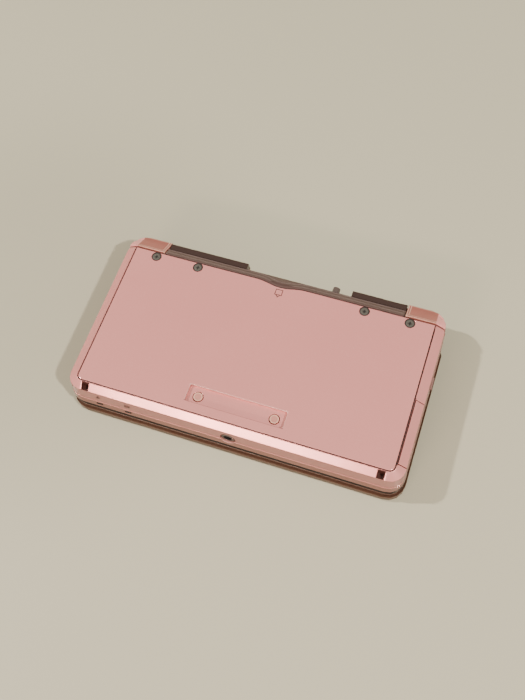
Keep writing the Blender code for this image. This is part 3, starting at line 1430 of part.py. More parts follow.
def lower_screen(finish, base):
    """Screen module of the base and the touch panel in its window."""
    module = centred_outline(0, lower_screen_y(), LOWER_LCD_WIDTH, LOWER_LCD_DEPTH, WINDOW_CORNER)
    piece("lower_lcd", prism(module, KEY_LEVEL, LCD_TOP), finish["panel"], base)
    width, depth = touch_window_size()
    panel = centred_outline(
        0,
        lower_screen_y(),
        width - 2 * CLEARANCE,
        depth - 2 * CLEARANCE,
        WINDOW_CORNER - CLEARANCE,
    )
    low, high = CONTROL_FACE + CLEARANCE, PLATE_INSIDE - CLEARANCE / 2
    piece("touch_panel", prism(panel, low, high), finish["glass"], base)


def round_key(name, place, radius, finish, base):
    """A round key with a domed edge and a flange behind the plate."""
    axis = joint_axis(f"{name}_axis", (*place, KEY_LEVEL), base)
    flange = radius + KEY_FLANGE_WIDTH
    profile = [
        (0, KEY_TIP),
        (radius - KEY_EDGE, KEY_TIP),
        (radius, KEY_TIP + KEY_EDGE),
        (radius, KEY_LEVEL),
        (flange, KEY_LEVEL),
        (flange, KEY_LEVEL + KEY_FLANGE),
        (0, KEY_LEVEL + KEY_FLANGE),
    ]
    piece(name, turned(profile, (*place, 0)), finish, axis)


def keys(finish, base):
    """The round keys, the power key and the three menu keys."""
    for name, place in face_key_places().items():
        round_key(name, place, FACE_KEY_RADIUS, finish["key"], base)
    round_key("power_button", (POWER_KEY_X, POWER_KEY_Y), POWER_KEY_RADIUS, finish["key"], base)
    for name, (x, y) in menu_key_places().items():
        axis = joint_axis(f"{name}_axis", (x, y, KEY_LEVEL), base)
        cap = centred_outline(x, y, MENU_KEY_WIDTH, MENU_KEY_DEPTH, MENU_KEY_CORNER)
        width = MENU_KEY_WIDTH + 2 * KEY_FLANGE_WIDTH
        depth = MENU_KEY_DEPTH + 2 * KEY_FLANGE_WIDTH
        flange = centred_outline(x, y, width, depth, MENU_KEY_CORNER + KEY_FLANGE_WIDTH)
        shape = loft(
            level(cap, CONTROL_FACE - MENU_KEY_RISE),
            level(cap, KEY_LEVEL),
            level(flange, KEY_LEVEL),
            level(flange, KEY_LEVEL + KEY_FLANGE),
        )
        piece(name, shape, finish["key"], axis)


def direction_pad(finish, base):
    """Cross-shaped pad, which rocks one way on its pivot while the pivot rocks the other way."""
    pivot_low = LCD_TOP - D_PAD_PIVOT_HEIGHT
    centre = (FIELD_X, D_PAD_Y, pivot_low)
    side_axis = joint_axis("d_pad_side_axis", centre, base)
    pad_axis = joint_axis("d_pad_front_axis", centre, side_axis)
    post = rod((FIELD_X, D_PAD_Y, 0), D_PAD_PIVOT_RADIUS, pivot_low, LCD_TOP, steps=SMALL_ROUND_STEPS)
    piece("d_pad_pivot", post, finish["rubber"], side_axis)
    flange_low = KEY_LEVEL + D_PAD_LIFT
    cap = cross_outline(FIELD_X, D_PAD_Y, 0)
    flange = cross_outline(FIELD_X, D_PAD_Y, D_PAD_PLAY + KEY_EDGE)
    shape = loft(
        level(cap, CONTROL_FACE - D_PAD_RISE),
        level(cap, flange_low),
        level(flange, flange_low),
        level(flange, flange_low + D_PAD_FLANGE),
    )
    piece("d_pad", shape, finish["key"], pad_axis)


def circle_pad(finish, base):
    """Dished pad on a stem, the plate that it slides on, and the housing of both slides."""
    centre = (FIELD_X, FIELD_REAR_Y, 0)
    side_axis = joint_axis("circle_side_axis", (FIELD_X, FIELD_REAR_Y, KEY_LEVEL), base)
    pad_axis = joint_axis("circle_front_axis", (FIELD_X, FIELD_REAR_Y, KEY_LEVEL), side_axis)
    skirt_high = KEY_LEVEL + CIRCLE_SKIRT
    stem_end = skirt_high + CIRCLE_STEM_LENGTH
    rim = CIRCLE_CAP_RADIUS - CIRCLE_DISH
    profile = [
        (0, KEY_TIP + CIRCLE_DISH),
        (rim - CIRCLE_DISH, KEY_TIP + CIRCLE_DISH / 2),
        (rim, KEY_TIP),
        (CIRCLE_CAP_RADIUS, KEY_TIP + CIRCLE_DISH),
        (CIRCLE_CAP_RADIUS, KEY_LEVEL),
        (CIRCLE_SKIRT_RADIUS, KEY_LEVEL),
        (CIRCLE_SKIRT_RADIUS, skirt_high),
        (CIRCLE_STEM_RADIUS, skirt_high),
        (CIRCLE_STEM_RADIUS, stem_end),
        (0, stem_end),
    ]
    piece("circle_pad", turned(profile, centre), finish["pad"], pad_axis)
    slide_low = skirt_high + CLEARANCE
    slide_high = slide_low + CIRCLE_SLIDER_THICKNESS
    plate = centred_outline(FIELD_X, FIELD_REAR_Y, CIRCLE_SLIDER_SIZE, CIRCLE_SLIDER_SIZE)
    slider = piece("circle_slider", prism(plate, slide_low, slide_high), finish["socket"], side_axis)
    slot_width = 2 * (CIRCLE_STEM_RADIUS + CLEARANCE)
    slot_depth = slot_width + 2 * CIRCLE_TRAVEL
    slot = centred_outline(FIELD_X, FIELD_REAR_Y, slot_width, slot_depth, CIRCLE_STEM_RADIUS)
    cut(slider, prism(slot, KEY_LEVEL, BOARD_TOP))
    width, depth = circle_housing_size()
    shell = centred_outline(FIELD_X, FIELD_REAR_Y, width, depth, WINDOW_CORNER)
    housing_high = stem_end + CLEARANCE + CIRCLE_HOUSING_FLOOR
    housing = piece("circle_housing", prism(shell, slide_low, housing_high), finish["socket"], base)
    room = centred_outline(
        FIELD_X, FIELD_REAR_Y, width - 2 * CIRCLE_HOUSING_WALL, depth - 2 * CIRCLE_HOUSING_WALL
    )
    cut(housing, prism(room, KEY_LEVEL, stem_end + CLEARANCE))


def circle_housing_size():
    room = CIRCLE_SLIDER_SIZE + 2 * CLEARANCE
    wall = 2 * CIRCLE_HOUSING_WALL
    return room + 2 * CIRCLE_TRAVEL + wall, room + wall


def side_slide(name, side, front, length, finish, base):
    """A small knob through the side wall, with a wider tab inside."""
    low = KEY_LEVEL + SIDE_KNOB_LOW
    high = low + SIDE_KNOB_HEIGHT
    outer = CASE_HALF_WIDTH + LID_SEAM_DRAFT + SIDE_KNOB_PROUD
    wall = CASE_HALF_WIDTH - CASE_WALL - CLEARANCE
    axis = joint_axis(f"{name}_axis", (side * wall, front + length / 2, low), base)
    knob = sorted((side * (wall - SIDE_KNOB_TAB / 2), side * outer))
    tab = sorted((side * (wall - SIDE_KNOB_TAB), side * wall))
    margin = SIDE_KNOB_TAB_MARGIN
    obj = piece(name, block(*knob, front, front + length, low, high), finish, axis)
    add(obj, block(*tab, front - margin, front + length + margin, low, high))


def side_slides(finish, base):
    """Volume slide on the left side and wireless switch on the right side."""
    side_slide("volume_slider", 1, VOLUME_Y, VOLUME_LENGTH, finish["pad"], base)
    side_slide(
        "wireless_switch", -1, WIRELESS_SWITCH_Y, WIRELESS_SWITCH_LENGTH, finish["pad"], base
    )


def main_board(finish, base):
    """Main circuit board, cut round the circle pad's housing, the jack and the screws."""
    margin = CASE_WALL + BOARD_MARGIN
    corner = CASE_CORNER - BOARD_MARGIN
    plan = case_outline(margin, margin, REAR_SOLID_FRONT - CLEARANCE, corner)
    board = piece("main_board", prism(plan, BOARD_BOTTOM, BOARD_TOP), finish["board"], base)
    low, high = BOARD_BOTTOM - OVERRUN, BOARD_TOP + OVERRUN
    width, depth = circle_housing_size()
    housing = centred_outline(
        FIELD_X, FIELD_REAR_Y, width + 2 * CLEARANCE, depth + 2 * CLEARANCE, WINDOW_CORNER
    )
    cut(board, prism(housing, low, high), jack_space(low, high))
    for x, y in shell_screw_places():
        hole = SHELL_SCREW_SHANK + CLEARANCE
        cut(board, rod((x, y, 0), hole, low, high, steps=SMALL_ROUND_STEPS))


def board_parts(finish, base):
    """Wireless module, battery and charging contacts above the board."""
    right, rear = WIRELESS_LEFT + WIRELESS_WIDTH, WIRELESS_FRONT + WIRELESS_DEPTH
    top = SOCKET_LEVEL + WIRELESS_BOARD
    module = piece(
        "wireless_board",
        block(WIRELESS_LEFT, right, WIRELESS_FRONT, rear, SOCKET_LEVEL, top),
        finish["board"],
        base,
    )
    margin = WIRELESS_CAN_MARGIN
    add(
        module,
        block(
            WIRELESS_LEFT + margin,
            right - margin,
            WIRELESS_FRONT + margin,
            rear - margin,
            top - WIRELESS_BOARD / 2,
            top + WIRELESS_CAN,
        ),
    )
    cell = centred_outline(BATTERY_X, BATTERY_Y, BATTERY_WIDTH, BATTERY_DEPTH, BATTERY_CORNER)
    piece("battery", prism(cell, SOCKET_LEVEL, COVER_BOTTOM - CLEARANCE), finish["cell"], base)
    for name, side in (("left_charging_contact", 1), ("right_charging_contact", -1)):
        centre = (side * CONTACT_X, CONTACT_Y, 0)
        pin = rod(centre, CONTACT_RADIUS, SOCKET_LEVEL, FLOOR_TOP + CONTACT_RISE)
        piece(name, pin, finish["gold"], base)


def card_socket_rear():
    return REAR_SOLID_FRONT - CLEARANCE


def game_card_socket(finish, base):
    """Sheet metal socket for the game card, open to the rear."""
    left = CARD_SOCKET_X - CARD_SOCKET_WIDTH / 2
    right = left + CARD_SOCKET_WIDTH
    sheet = CARD_SOCKET_SHEET
    cage = piece(
        "game_card_socket",
        block(left, right, CARD_SOCKET_FRONT, card_socket_rear(), SOCKET_LEVEL, SOCKET_TOP),
        finish["tin"],
        base,
    )
    cut(
        cage,
        block(
            left + sheet,
            right - sheet,
            CARD_SOCKET_FRONT + sheet,
            card_socket_rear() + OVERRUN,
            SOCKET_LEVEL + sheet,
            SOCKET_TOP - sheet,
        ),
    )


def memory_card(finish, base):
    """Socket and card behind the side door."""
    sheet = SD_SOCKET_SHEET
    middle = (DOOR_FRONT + DOOR_REAR) / 2
    card_outer = door_inner() - CARD_SETBACK
    card_left = card_outer - CARD_LENGTH
    card_low = SOCKET_LEVEL + sheet + CLEARANCE
    card_high = card_low + CARD_THICKNESS
    half = CARD_WIDTH / 2
    card = outline(
        card_left, card_outer, middle - half, middle + half, (CARD_CORNER, 0, 0, CARD_CORNER)
    )
    piece("sd_card", prism(card, card_low, card_high), finish["socket"], base)
    room = half + CLEARANCE
    left = card_left - CLEARANCE - sheet
    right = left + SD_SOCKET_LENGTH
    cage = piece(
        "sd_socket",
        block(
            left,
            right,
            middle - room - sheet,
            middle + room + sheet,
            SOCKET_LEVEL,
            card_high + CLEARANCE + sheet,
        ),
        finish["tin"],
        base,
    )
    cut(
        cage,
        block(
            card_left - CLEARANCE,
            right + OVERRUN,
            middle - room,
            middle + room,
            card_low - CLEARANCE,
            card_high + CLEARANCE,
        ),
    )


def sd_door(finish, base):
    """Door of the memory card slot, which follows the case's side and turns on two pintles."""
    axis = joint_axis("sd_door_axis", (DOOR_AXIS_X, (DOOR_FRONT + DOOR_REAR) / 2, DOOR_AXIS_Z), base)
    inner = door_inner()
    outer = CASE_HALF_WIDTH - CHAMFER_DRAFT
    bottom = PARTING + DOOR_BOTTOM_GAP
    sweep_x = math.sqrt(DOOR_SWEEP**2 - (DOOR_AXIS_Z - bottom) ** 2)
    rise = math.sqrt(max(DOOR_SWEEP**2 - (CASE_HALF_WIDTH - DOOR_AXIS_X) ** 2, 0))
    section = [
        (inner, TOP),
        (inner, TOP - DOOR_FLAP),
        (outer - DOOR_WALL, CHAMFER_LEVEL - DOOR_WALL / 2),
        (outer - DOOR_WALL, bottom),
        (DOOR_AXIS_X + sweep_x, bottom),
        (CASE_HALF_WIDTH - CLEARANCE / 4, DOOR_AXIS_Z - rise),
        (outer, CHAMFER_LEVEL),
        (inner + CLEARANCE / 2, TOP),
    ]
    door = piece("sd_door", bar(section, DOOR_FRONT, DOOR_REAR, "Y"), finish["pearl"], axis)
    centre = (DOOR_AXIS_X, 0, DOOR_AXIS_Z)
    start, end = DOOR_FRONT + CLEARANCE, DOOR_REAR - CLEARANCE
    add(door, rod(centre, DOOR_BARREL, start, end, "Y", SMALL_ROUND_STEPS))
    start, end = DOOR_FRONT - DOOR_PINTLE_LENGTH, DOOR_REAR + DOOR_PINTLE_LENGTH
    add(door, rod(centre, DOOR_PINTLE, start, end, "Y", SMALL_ROUND_STEPS))


def stylus(finish, base):
    """Telescopic stylus in its bore beside the game card, with its inner rod."""
    slide = joint_axis("stylus_axis", (STYLUS_X, STYLUS_END, STYLUS_Z), base)
    tip_axis = joint_axis("stylus_tip_axis", (STYLUS_X, STYLUS_FRONT, STYLUS_Z), slide)
    centre = (STYLUS_X, 0, STYLUS_Z)
    bore_end = STYLUS_FRONT + STYLUS_TIP_LENGTH + CLEARANCE
    profile = [
        (STYLUS_BORE, STYLUS_FRONT),
        (STYLUS_RADIUS, STYLUS_FRONT),
        (STYLUS_RADIUS, STYLUS_HEAD_START),
        (STYLUS_HEAD_RADIUS, STYLUS_HEAD_START),
        (STYLUS_HEAD_RADIUS, STYLUS_END),
        (0, STYLUS_END),
        (0, bore_end),
        (STYLUS_BORE, bore_end),
        (STYLUS_BORE, STYLUS_FRONT),
    ]
    barrel = turned(profile, centre, "Y", SMALL_ROUND_STEPS)
    piece("stylus", barrel, finish["socket"], slide)
    nib_start = STYLUS_FRONT - CLEARANCE
    rod_profile = [
        (0, STYLUS_FRONT - STYLUS_NIB),
        (STYLUS_NIB_END, STYLUS_FRONT - STYLUS_NIB),
        (STYLUS_TIP_RADIUS, nib_start),
        (STYLUS_TIP_RADIUS, bore_end - 2 * CLEARANCE),
        (0, bore_end - 2 * CLEARANCE),
    ]
    piece("stylus_tip", turned(rod_profile, centre, "Y", SMALL_ROUND_STEPS), finish["steel"], tip_axis)


def jack_front():
    """The jack's face stands a little inside the front wall's outer face."""
    return CASE_FRONT + CLEARANCE


def jack_space(low, high):
    """The space around the jack's body, from the front wall back."""
    half = JACK_BODY_WIDTH / 2 + CLEARANCE
    return block(-half, half, LID_FRONT, jack_front() + JACK_BODY_DEPTH + CLEARANCE, low, high)


def headphone_jack(finish, base):
    """Headphone jack with a round collar in the front wall."""
    front = jack_front()
    collar_end = CASE_FRONT + CASE_WALL + CLEARANCE
    body_front = CASE_FRONT + CASE_WALL + CHAMFER_DRAFT_FRONT + CLEARANCE
    neck = JACK_BORE + JACK_BODY_WALL
    half = JACK_BODY_WIDTH / 2
    top = 2 * JACK_Z - JACK_BODY_LOW
    body = block(-half, half, body_front, front + JACK_BODY_DEPTH, JACK_BODY_LOW - CLEARANCE / 2, top)
    jack = piece("headphone_jack", body, finish["socket"], base)
    collar = [
        (0, front),
        (JACK_RADIUS, front),
        (JACK_RADIUS, collar_end),
        (neck, collar_end),
        (neck, body_front + OVERRUN),
        (0, body_front + OVERRUN),
    ]
    add(jack, turned(collar, (0, 0, JACK_Z), "Y"))
    cut(jack, rod((0, 0, JACK_Z), JACK_BORE, front - OVERRUN, front + JACK_BORE_DEPTH, "Y"))


def power_connector(finish, base):
    """Power connector in the left block behind the rear wall."""
    low = port_height()
    half = POWER_PORT_WIDTH / 2
    rear = BLOCK_REAR_TOP
    wall = POWER_PORT_WALL
    connector = piece(
        "power_connector",
        block(
            POWER_PORT_X - half,
            POWER_PORT_X + half,
            rear - POWER_PORT_LENGTH,
            rear,
            low,
            low + POWER_PORT_HEIGHT,
        ),
        finish["socket"],
        base,
    )
    cut(
        connector,
        block(
            POWER_PORT_X - half + wall,
            POWER_PORT_X + half - wall,
            rear - POWER_PORT_MOUTH,
            rear + OVERRUN,
            low + wall,
            low + POWER_PORT_HEIGHT - wall,
        ),
    )

def light_guide(finish, base):
    """Clear guide that leads the light of two lamps on the board to the front wall."""
    front = CASE_FRONT - LID_SEAM_DRAFT_FRONT / 2
    rear = front + LIGHT_PIPE_DEPTH
    high = KEY_LEVEL + LIGHT_HEIGHT
    half = LIGHT_WIDTH / 2
    left, right = min(LIGHT_XS) - half, max(LIGHT_XS) + half
    section = [
        (rear - LIGHT_PIPE_FOOT, KEY_LEVEL),
        (rear, KEY_LEVEL),
        (rear, LCD_TOP),
        (rear - LIGHT_PIPE_FOOT, LCD_TOP),
    ]
    guide = piece("light_guide", bar(section, left, right), finish["amber"], base)
    end = rear - LIGHT_PIPE_FOOT / 2
    add(
        guide,
        *(block(x - half, x + half, front, end, KEY_LEVEL + CLEARANCE / 2, high) for x in LIGHT_XS),
    )


def shoulder_rings(side, bottom):
    """Plan of a shoulder button at each height, for the console's left or right side."""
    reach = CASE_HALF_WIDTH
    drafted = reach - CHAMFER_DRAFT
    top_reach = drafted - CHAMFER_INSET
    skirt = bottom + SHOULDER_SKIRT_HEIGHT
    bulge = skirt + SHOULDER_BULGE_HEIGHT
    break_z = bottom + SHOULDER_BREAK_HEIGHT
    lip_z = TOP - SHOULDER_LIP_DROP
    break_rear = SHOULDER_REAR - SHOULDER_BREAK_INSET
    face_end = SHOULDER_FRONT + SHOULDER_FACE_END
    fall = (CHAMFER_LEVEL - break_z) / (lip_z - break_z)
    mid_rear = break_rear + (face_end - break_rear) * fall
    lip_share = (lip_z - CHAMFER_LEVEL) / CHAMFER_HEIGHT
    lip_reach = drafted - CHAMFER_INSET * lip_share
    rows = (
        (bottom, reach, SHOULDER_REAR, SHOULDER_CORNER),
        (skirt, drafted, SHOULDER_REAR, SHOULDER_CORNER),
        (bulge, drafted, SHOULDER_REAR - SHOULDER_BULGE_INSET, SHOULDER_CORNER),
        (break_z, drafted, break_rear, SHOULDER_CORNER - SHOULDER_BULGE_INSET),
        (CHAMFER_LEVEL, drafted, mid_rear, (mid_rear - SHOULDER_FRONT) * SHOULDER_SIDE_CORNER_SHARE),
        (lip_z, lip_reach, face_end, SHOULDER_FACE_END * SHOULDER_LIP_CORNER_SHARE),
        (TOP, top_reach, SHOULDER_FRONT + SHOULDER_LIP_DEPTH, SHOULDER_TOP_CORNER),
    )
    rings = []
    for z, far, rear, corner in rows:
        left, right = sorted((side * SHOULDER_INNER, side * far))
        inner = CLEARANCE
        corners = (inner, inner, corner, inner) if side > 0 else (inner, inner, inner, corner)
        rings.append(level(outline(left, right, SHOULDER_FRONT, rear, corners), z))
    return rings


def shoulder_buttons(finish, base):
    """Shoulder buttons that wrap the rear corners and turn on pins of their own."""
    bottom = REAR_LEVEL + CLEARANCE
    for name, side in (("left_shoulder_button", 1), ("right_shoulder_button", -1)):
        pivot = (side * SHOULDER_PIVOT_X, SHOULDER_PIVOT_Y, bottom)
        axis = joint_axis(f"{name}_axis", pivot, base)
        button = piece(name, loft(*shoulder_rings(side, bottom)), finish["salmon"], axis)
        start = REAR_LEVEL - SHOULDER_PIN_DEPTH
        pin = (SHOULDER_PIN_RADIUS, start, start + SHOULDER_PIN_LENGTH)
        add(button, rod((*pivot[:2], 0), *pin, steps=SMALL_ROUND_STEPS))
    shoulder_switches(finish, base)


def shoulder_plunger_z():
    return SOCKET_LEVEL + SHOULDER_SWITCH_HEIGHT / 2


def shoulder_switches(finish, base):
    """Small push switches inside the rear wall, one for each shoulder button."""
    rear = SHOULDER_CAVITY_FRONT - CASE_WALL - CLEARANCE
    front = rear - SHOULDER_SWITCH_DEPTH
    half = SHOULDER_SWITCH_WIDTH / 2
    for name, side in (("left_shoulder_switch", 1), ("right_shoulder_switch", -1)):
        x = side * SHOULDER_SWITCH_X
        high = SOCKET_LEVEL + SHOULDER_SWITCH_HEIGHT
        body = block(x - half, x + half, front, rear, REAR_LEVEL + CLEARANCE, high)
        switch = piece(name, body, finish["socket"], base)
        centre = (x, 0, shoulder_plunger_z())
        plunger = (SHOULDER_PLUNGER_RADIUS, front + half / 2, SHOULDER_CAVITY_FRONT)
        add(switch, rod(centre, *plunger, "Y", SMALL_ROUND_STEPS))


def build():
    for old in list(bpy.data.objects):
        bpy.data.objects.remove(old, do_unlink=True)
    finish = make_finishes()
    lid_cover(finish)
    lid_shell(finish)
    lid_bezel(finish)
    upper_screen(finish)
    speakers(finish)
    cameras(finish)
    depth_slider(finish)
    base = joint_axis("lid_hinge_axis", (0, HINGE_Y, HINGE_Z))
    hinge_parts(finish, base)
    control_shell(finish, base)
    bottom_shell(finish, base)
    bottom_cover(finish, base)
    base_fasteners(finish, base)
    lower_screen(finish, base)
    keys(finish, base)
    direction_pad(finish, base)
    circle_pad(finish, base)
    side_slides(finish, base)
    main_board(finish, base)
    board_parts(finish, base)
    game_card_socket(finish, base)
    memory_card(finish, base)
    sd_door(finish, base)
    stylus(finish, base)
    headphone_jack(finish, base)
    power_connector(finish, base)
    light_guide(finish, base)
    shoulder_buttons(finish, base)


build()
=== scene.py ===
import json
import math

import bmesh
import bpy
from mathutils import Matrix, Vector


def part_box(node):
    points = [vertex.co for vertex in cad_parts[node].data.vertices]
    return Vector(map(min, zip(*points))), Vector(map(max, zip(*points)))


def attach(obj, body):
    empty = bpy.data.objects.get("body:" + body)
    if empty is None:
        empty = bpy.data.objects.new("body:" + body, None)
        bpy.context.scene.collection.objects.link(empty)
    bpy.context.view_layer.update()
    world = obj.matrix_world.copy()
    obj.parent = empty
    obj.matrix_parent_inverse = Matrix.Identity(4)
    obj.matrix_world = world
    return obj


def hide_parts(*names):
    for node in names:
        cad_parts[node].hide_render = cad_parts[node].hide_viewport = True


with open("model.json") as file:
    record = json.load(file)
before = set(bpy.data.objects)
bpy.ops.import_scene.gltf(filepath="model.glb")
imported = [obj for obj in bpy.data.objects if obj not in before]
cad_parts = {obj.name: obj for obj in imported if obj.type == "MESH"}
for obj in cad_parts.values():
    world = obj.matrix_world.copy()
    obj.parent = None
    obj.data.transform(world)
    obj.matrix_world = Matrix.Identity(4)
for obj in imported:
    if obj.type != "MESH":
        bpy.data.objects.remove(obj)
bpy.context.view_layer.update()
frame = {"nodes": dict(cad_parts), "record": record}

# The camera, fitted to the photograph
CAMERA_PLACE = Vector((0.065298, -0.131970, 0.317643))
CAMERA_FORWARD = Vector((-0.19110, 0.39783, -0.89733))
CAMERA_RIGHT = Vector((0.94554, 0.32002, -0.05948))
CAMERA_LENS = 44.82
CAMERA_SENSOR = 36.0
CAMERA_CLIP = 0.01

# Soft lamps: the direction they stand in, distance, size, power and colour, and the room's softer light
LAMPS = (
    ("lamp_right", (0.56, -0.27, 0.78), 1.6, (0.06, 0.06), 23.0, (1.0, 0.97, 0.935)),
    ("lamp_left", (-0.63, -0.12, 0.77), 1.6, (0.06, 0.06), 18.5, (1.0, 0.97, 0.935)),
    ("front_window", (-0.20, -0.87, 0.45), 1.5, (0.5, 0.10), 8.5, (1.0, 0.76, 0.68)),
)
ROOM_FRONT = (0.42, 0.40, 0.35)
ROOM_BACK = (0.32, 0.30, 0.25)

# Colours, linear, the share of mirror flakes in the pearl paint and the weight of its lacquer
PEARL_METAL = 0.36
PEARL_PINK = (0.94, 0.362, 0.325)
ROSE = (0.60, 0.265, 0.215)
BLOCK_BROWN = (0.075, 0.045, 0.038)
RAIL_BROWN = (0.150, 0.086, 0.075)
# Near black brown of the painted shade in the gaps between parts
GAP_SHADE_BROWN = (0.050, 0.022, 0.018)
PEACH_REFLECTION = (0.90, 0.52, 0.38)
LID_BROWN = (0.110, 0.050, 0.036)
LID_CLEAR = (0.098, 0.045, 0.027)
SALMON = (0.465, 0.155, 0.115)
INK = (0.07, 0.030, 0.025)
SLOT_HIGHLIGHT = (1.0, 0.62, 0.55)
GILT, WORN_GILT, PALE_GILT = (0.72, 0.30, 0.235), (0.60, 0.25, 0.18), (0.95, 0.58, 0.40)
COLLAR_DARK, COLLAR_PALE = (0.085, 0.068, 0.064), (0.15, 0.122, 0.115)
BORE_BLACK = (0.012, 0.009, 0.009)
TINNED, COPPER, CELL_LABEL = (0.62, 0.60, 0.55), (0.60, 0.30, 0.14), (0.62, 0.62, 0.62)
DUST = (0.25, 0.24, 0.22)
TABLE = (0.560, 0.515, 0.372)
LACQUER = 0.25

# How softly one paint ends beside the next
PAINT_EDGE = 0.0001

# Places on the case, in metres, from the solids: heights, distances from the middle and places along Y.
# A pair is where a paint begins and where it ends or is full.
PLATE_SIDE, _, FRAME_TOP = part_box("bottom_cover")[1]
CASE_SIDE, CASE_FRONT = 0.0650, -0.0350
PLATE_RIM = (0.0605, -0.0315, 0.0245)
PLATE_TOP = (FRAME_TOP - 0.00010, FRAME_TOP - 0.00004)
PLATE_REAR_EDGE = (
    (-0.0490, 0.0288), (-0.0100, 0.0288), (-0.0078, 0.02867), (-0.0059, 0.02832), (-0.0039, 0.02788),
    (-0.0020, 0.02753), (0.0, 0.0274), (0.0020, 0.02753), (0.0039, 0.02788), (0.0059, 0.02832),
    (0.0078, 0.02867), (0.0100, 0.0288), (0.0490, 0.0288))
RAIL_FRONT = 0.0266
SHOULDER_END = 0.0497
BLOCK_FRONT, BLOCK_LEVEL = 0.0330, 0.0138
# Below this height the control shell's lip is painted near black: painted shade over the lid.
LIP_LEVEL = 0.0095
BEZEL_EDGE_TOP = (0.0073, 0.0075)
# On the lid's clear cover: the height of its painted highlight, and where the painted shade at its foot ends
LID_RIM_HIGHLIGHT, LID_FOOT_SHADE = (0.0038, 0.0043), (0.0002, 0.0016)
SCREW_XS, SCREW_Y = (0.0344, 0.0523), 0.0268
SCREW_CROSS, SCREW_GROOVE = (0.0004, 0.0007), (0.00150, 0.00175)
# Below these heights a plate screw is painted near black: painted shade down in its well.
SCREW_DEPTH = (FRAME_TOP - 0.00045, FRAME_TOP - 0.00015)
CONTACT_PLACE, CONTACT_RING = (0.0150, -0.0253), (0.00135, 0.00162)
RING_EDGE = 0.00006
SLOT_MIDDLE, SLOT_WIDTH, SLOT_DEPTH = -0.0250, 0.0384, 0.0068
# The contact slot's painted outline: its width, and where its painted shade at the front gives way to its
# painted highlight
SLOT_LINE, SLOT_FRONT_LINE = 0.00030, (-0.0281, -0.0279)
LIGHT_XS, LIGHT_LEVEL = (-0.0525, -0.0406), 0.0114
LIGHT_SIDE, LIGHT_RISE, LIGHT_BACK = 0.0013, 0.0006, (-0.0345, -0.0340)
JACK_LEVEL, JACK_BORE = 0.01415, (0.00172, 0.00180)
CELL_MIDDLE, CELL_BAND = -0.002, (0.0075, 0.0078)
# On the shoulder buttons: the shade, the painted corner, and peach lines of painted reflection from moulded
# edges, along Y and across
SHOULDER_SHADE, SHOULDER_CORNER = (0.0325, 0.0368), (0.0615, 0.0619)
FRONT_LINE, SECOND_LINE, REAR_LINE = (0.02945, 0.02975), (0.03035, 0.03055), (0.0361, 0.0363)
INNER_LINE, NEXT_LINE, NEXT_LINE_FRONT = (0.0500, 0.0503), (0.0508, 0.0511), 0.0303
(_, DOOR_FRONT, _), (_, DOOR_REAR, DOOR_TOP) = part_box("sd_door")
DOOR_EDGE = min(
    vert.co.x for vert in frame["nodes"]["sd_door"].data.vertices if vert.co.z > DOOR_TOP - 0.0003)
# The strap hole's corners, the front face's foot and top (y, z), and the chamfer that the hole opens in
STRAP_HOLE = ((0.05617, -0.03538, 0.01742), (0.05903, -0.03282, 0.0213))
FRONT_LOW, FRONT_HIGH = (-0.0363, 0.0130), (-0.0354, 0.0187)
CHAMFER_POINT = (0.0, -0.0354, 0.0187)
CHAMFER_NORMAL = (0.0, -0.648, 0.762)

# The small pieces on the bottom
SCREW_RING, SCREW_WELL = 0.00195, 0.00245
WELL_TOP, WELL_FOOT, WELL_WALL, WELL_STEPS = 0.0001, 0.0009, 0.0002, 32
SEAM_DEPTH, SEAM_WIDTH, SEAM_TOP, FLAT_LEAN = 0.00025, 0.00024, 0.0004, 0.3
SLOT_CLEAR = (0.030, 0.0045)
RIB_DISTANCES = {"rail_rib_front": 0.0012, "rail_rib_rear": 0.0023}
RIB_WIDTH, RIB_DROP, RIB_EDGE = 0.00022, 0.00005, 0.00004
STRAP_LINING, STRAP_CORNER, UPRIGHT_EDGE = 0.00012, 0.0005, 0.001
SIGN_LEVEL = 0.0158
MARK_RISE = 0.00003
# The card sign: x, y, width, depth and line of its outlines, and x, y, width, depth of its filled parts
CARD_OUTLINE = (0.0002, 0.0252, 0.0027, 0.0024, 0.00028)
CARD_TONGUE = (0.0002, 0.0238, 0.0011, 0.0006, 0.00024)
CARD_NOTCH, CARD_FOOT = (0.0002, 0.0239, 0.0011, 0.0008), (0.0002, 0.0231, 0.0005, 0.0004)
# Flat patches of the two signs on the front face: across, up, width, height
POWER_SIGN = ((0.0, 0.0, 0.0014, 0.00045), (0.0, 0.0006, 0.00045, 0.0011))
CHARGE_SIGN = (
    (0.0, 0.0005, 0.0019, 0.0003), (0.0, -0.0005, 0.0019, 0.0003), (-0.0008, 0.0, 0.0003, 0.0010),
    (0.0008, 0.0, 0.0003, 0.0010), (0.0012, 0.0, 0.0003, 0.0006))

# How the solids are rounded
SMOOTH_ANGLE = math.radians(32)
MERGE_DISTANCE = 0.000002
FLAT_ANGLE = math.radians(0.05)
EDGE_SEGMENTS = 2

# The table: half its width, and the place and reach of the painted shadow on it
TABLE_HALF = 4.0
SHADOW_PLACE, SHADOW_REACH = (-0.11, 0.01), (0.03, 0.13)


class Value:
    """A socket of a finish. A sum written with it adds the Math nodes."""

    def __init__(self, finish, socket):
        self.finish = finish
        self.socket = socket

    def math(self, operation, first, second=0.0):
        return self.finish.node("ShaderNodeMath", {"operation": operation}, {0: first, 1: second})

    def __add__(self, other):
        return self.math("ADD", self, other)

    def __radd__(self, other):
        return self.math("ADD", other, self)

    def __sub__(self, other):
        return self.math("SUBTRACT", self, other)

    def __rsub__(self, other):
        return self.math("SUBTRACT", other, self)

    def __mul__(self, other):
        return self.math("MULTIPLY", self, other)

    def __rmul__(self, other):
        return self.math("MULTIPLY", other, self)

    def __abs__(self):
        return self.math("ABSOLUTE", self)

    def __pow__(self, other):
        return self.math("POWER", self, other)

    def larger(self, other):
        return self.math("MAXIMUM", self, other)

    def smaller(self, other):
        return self.math("MINIMUM", self, other)


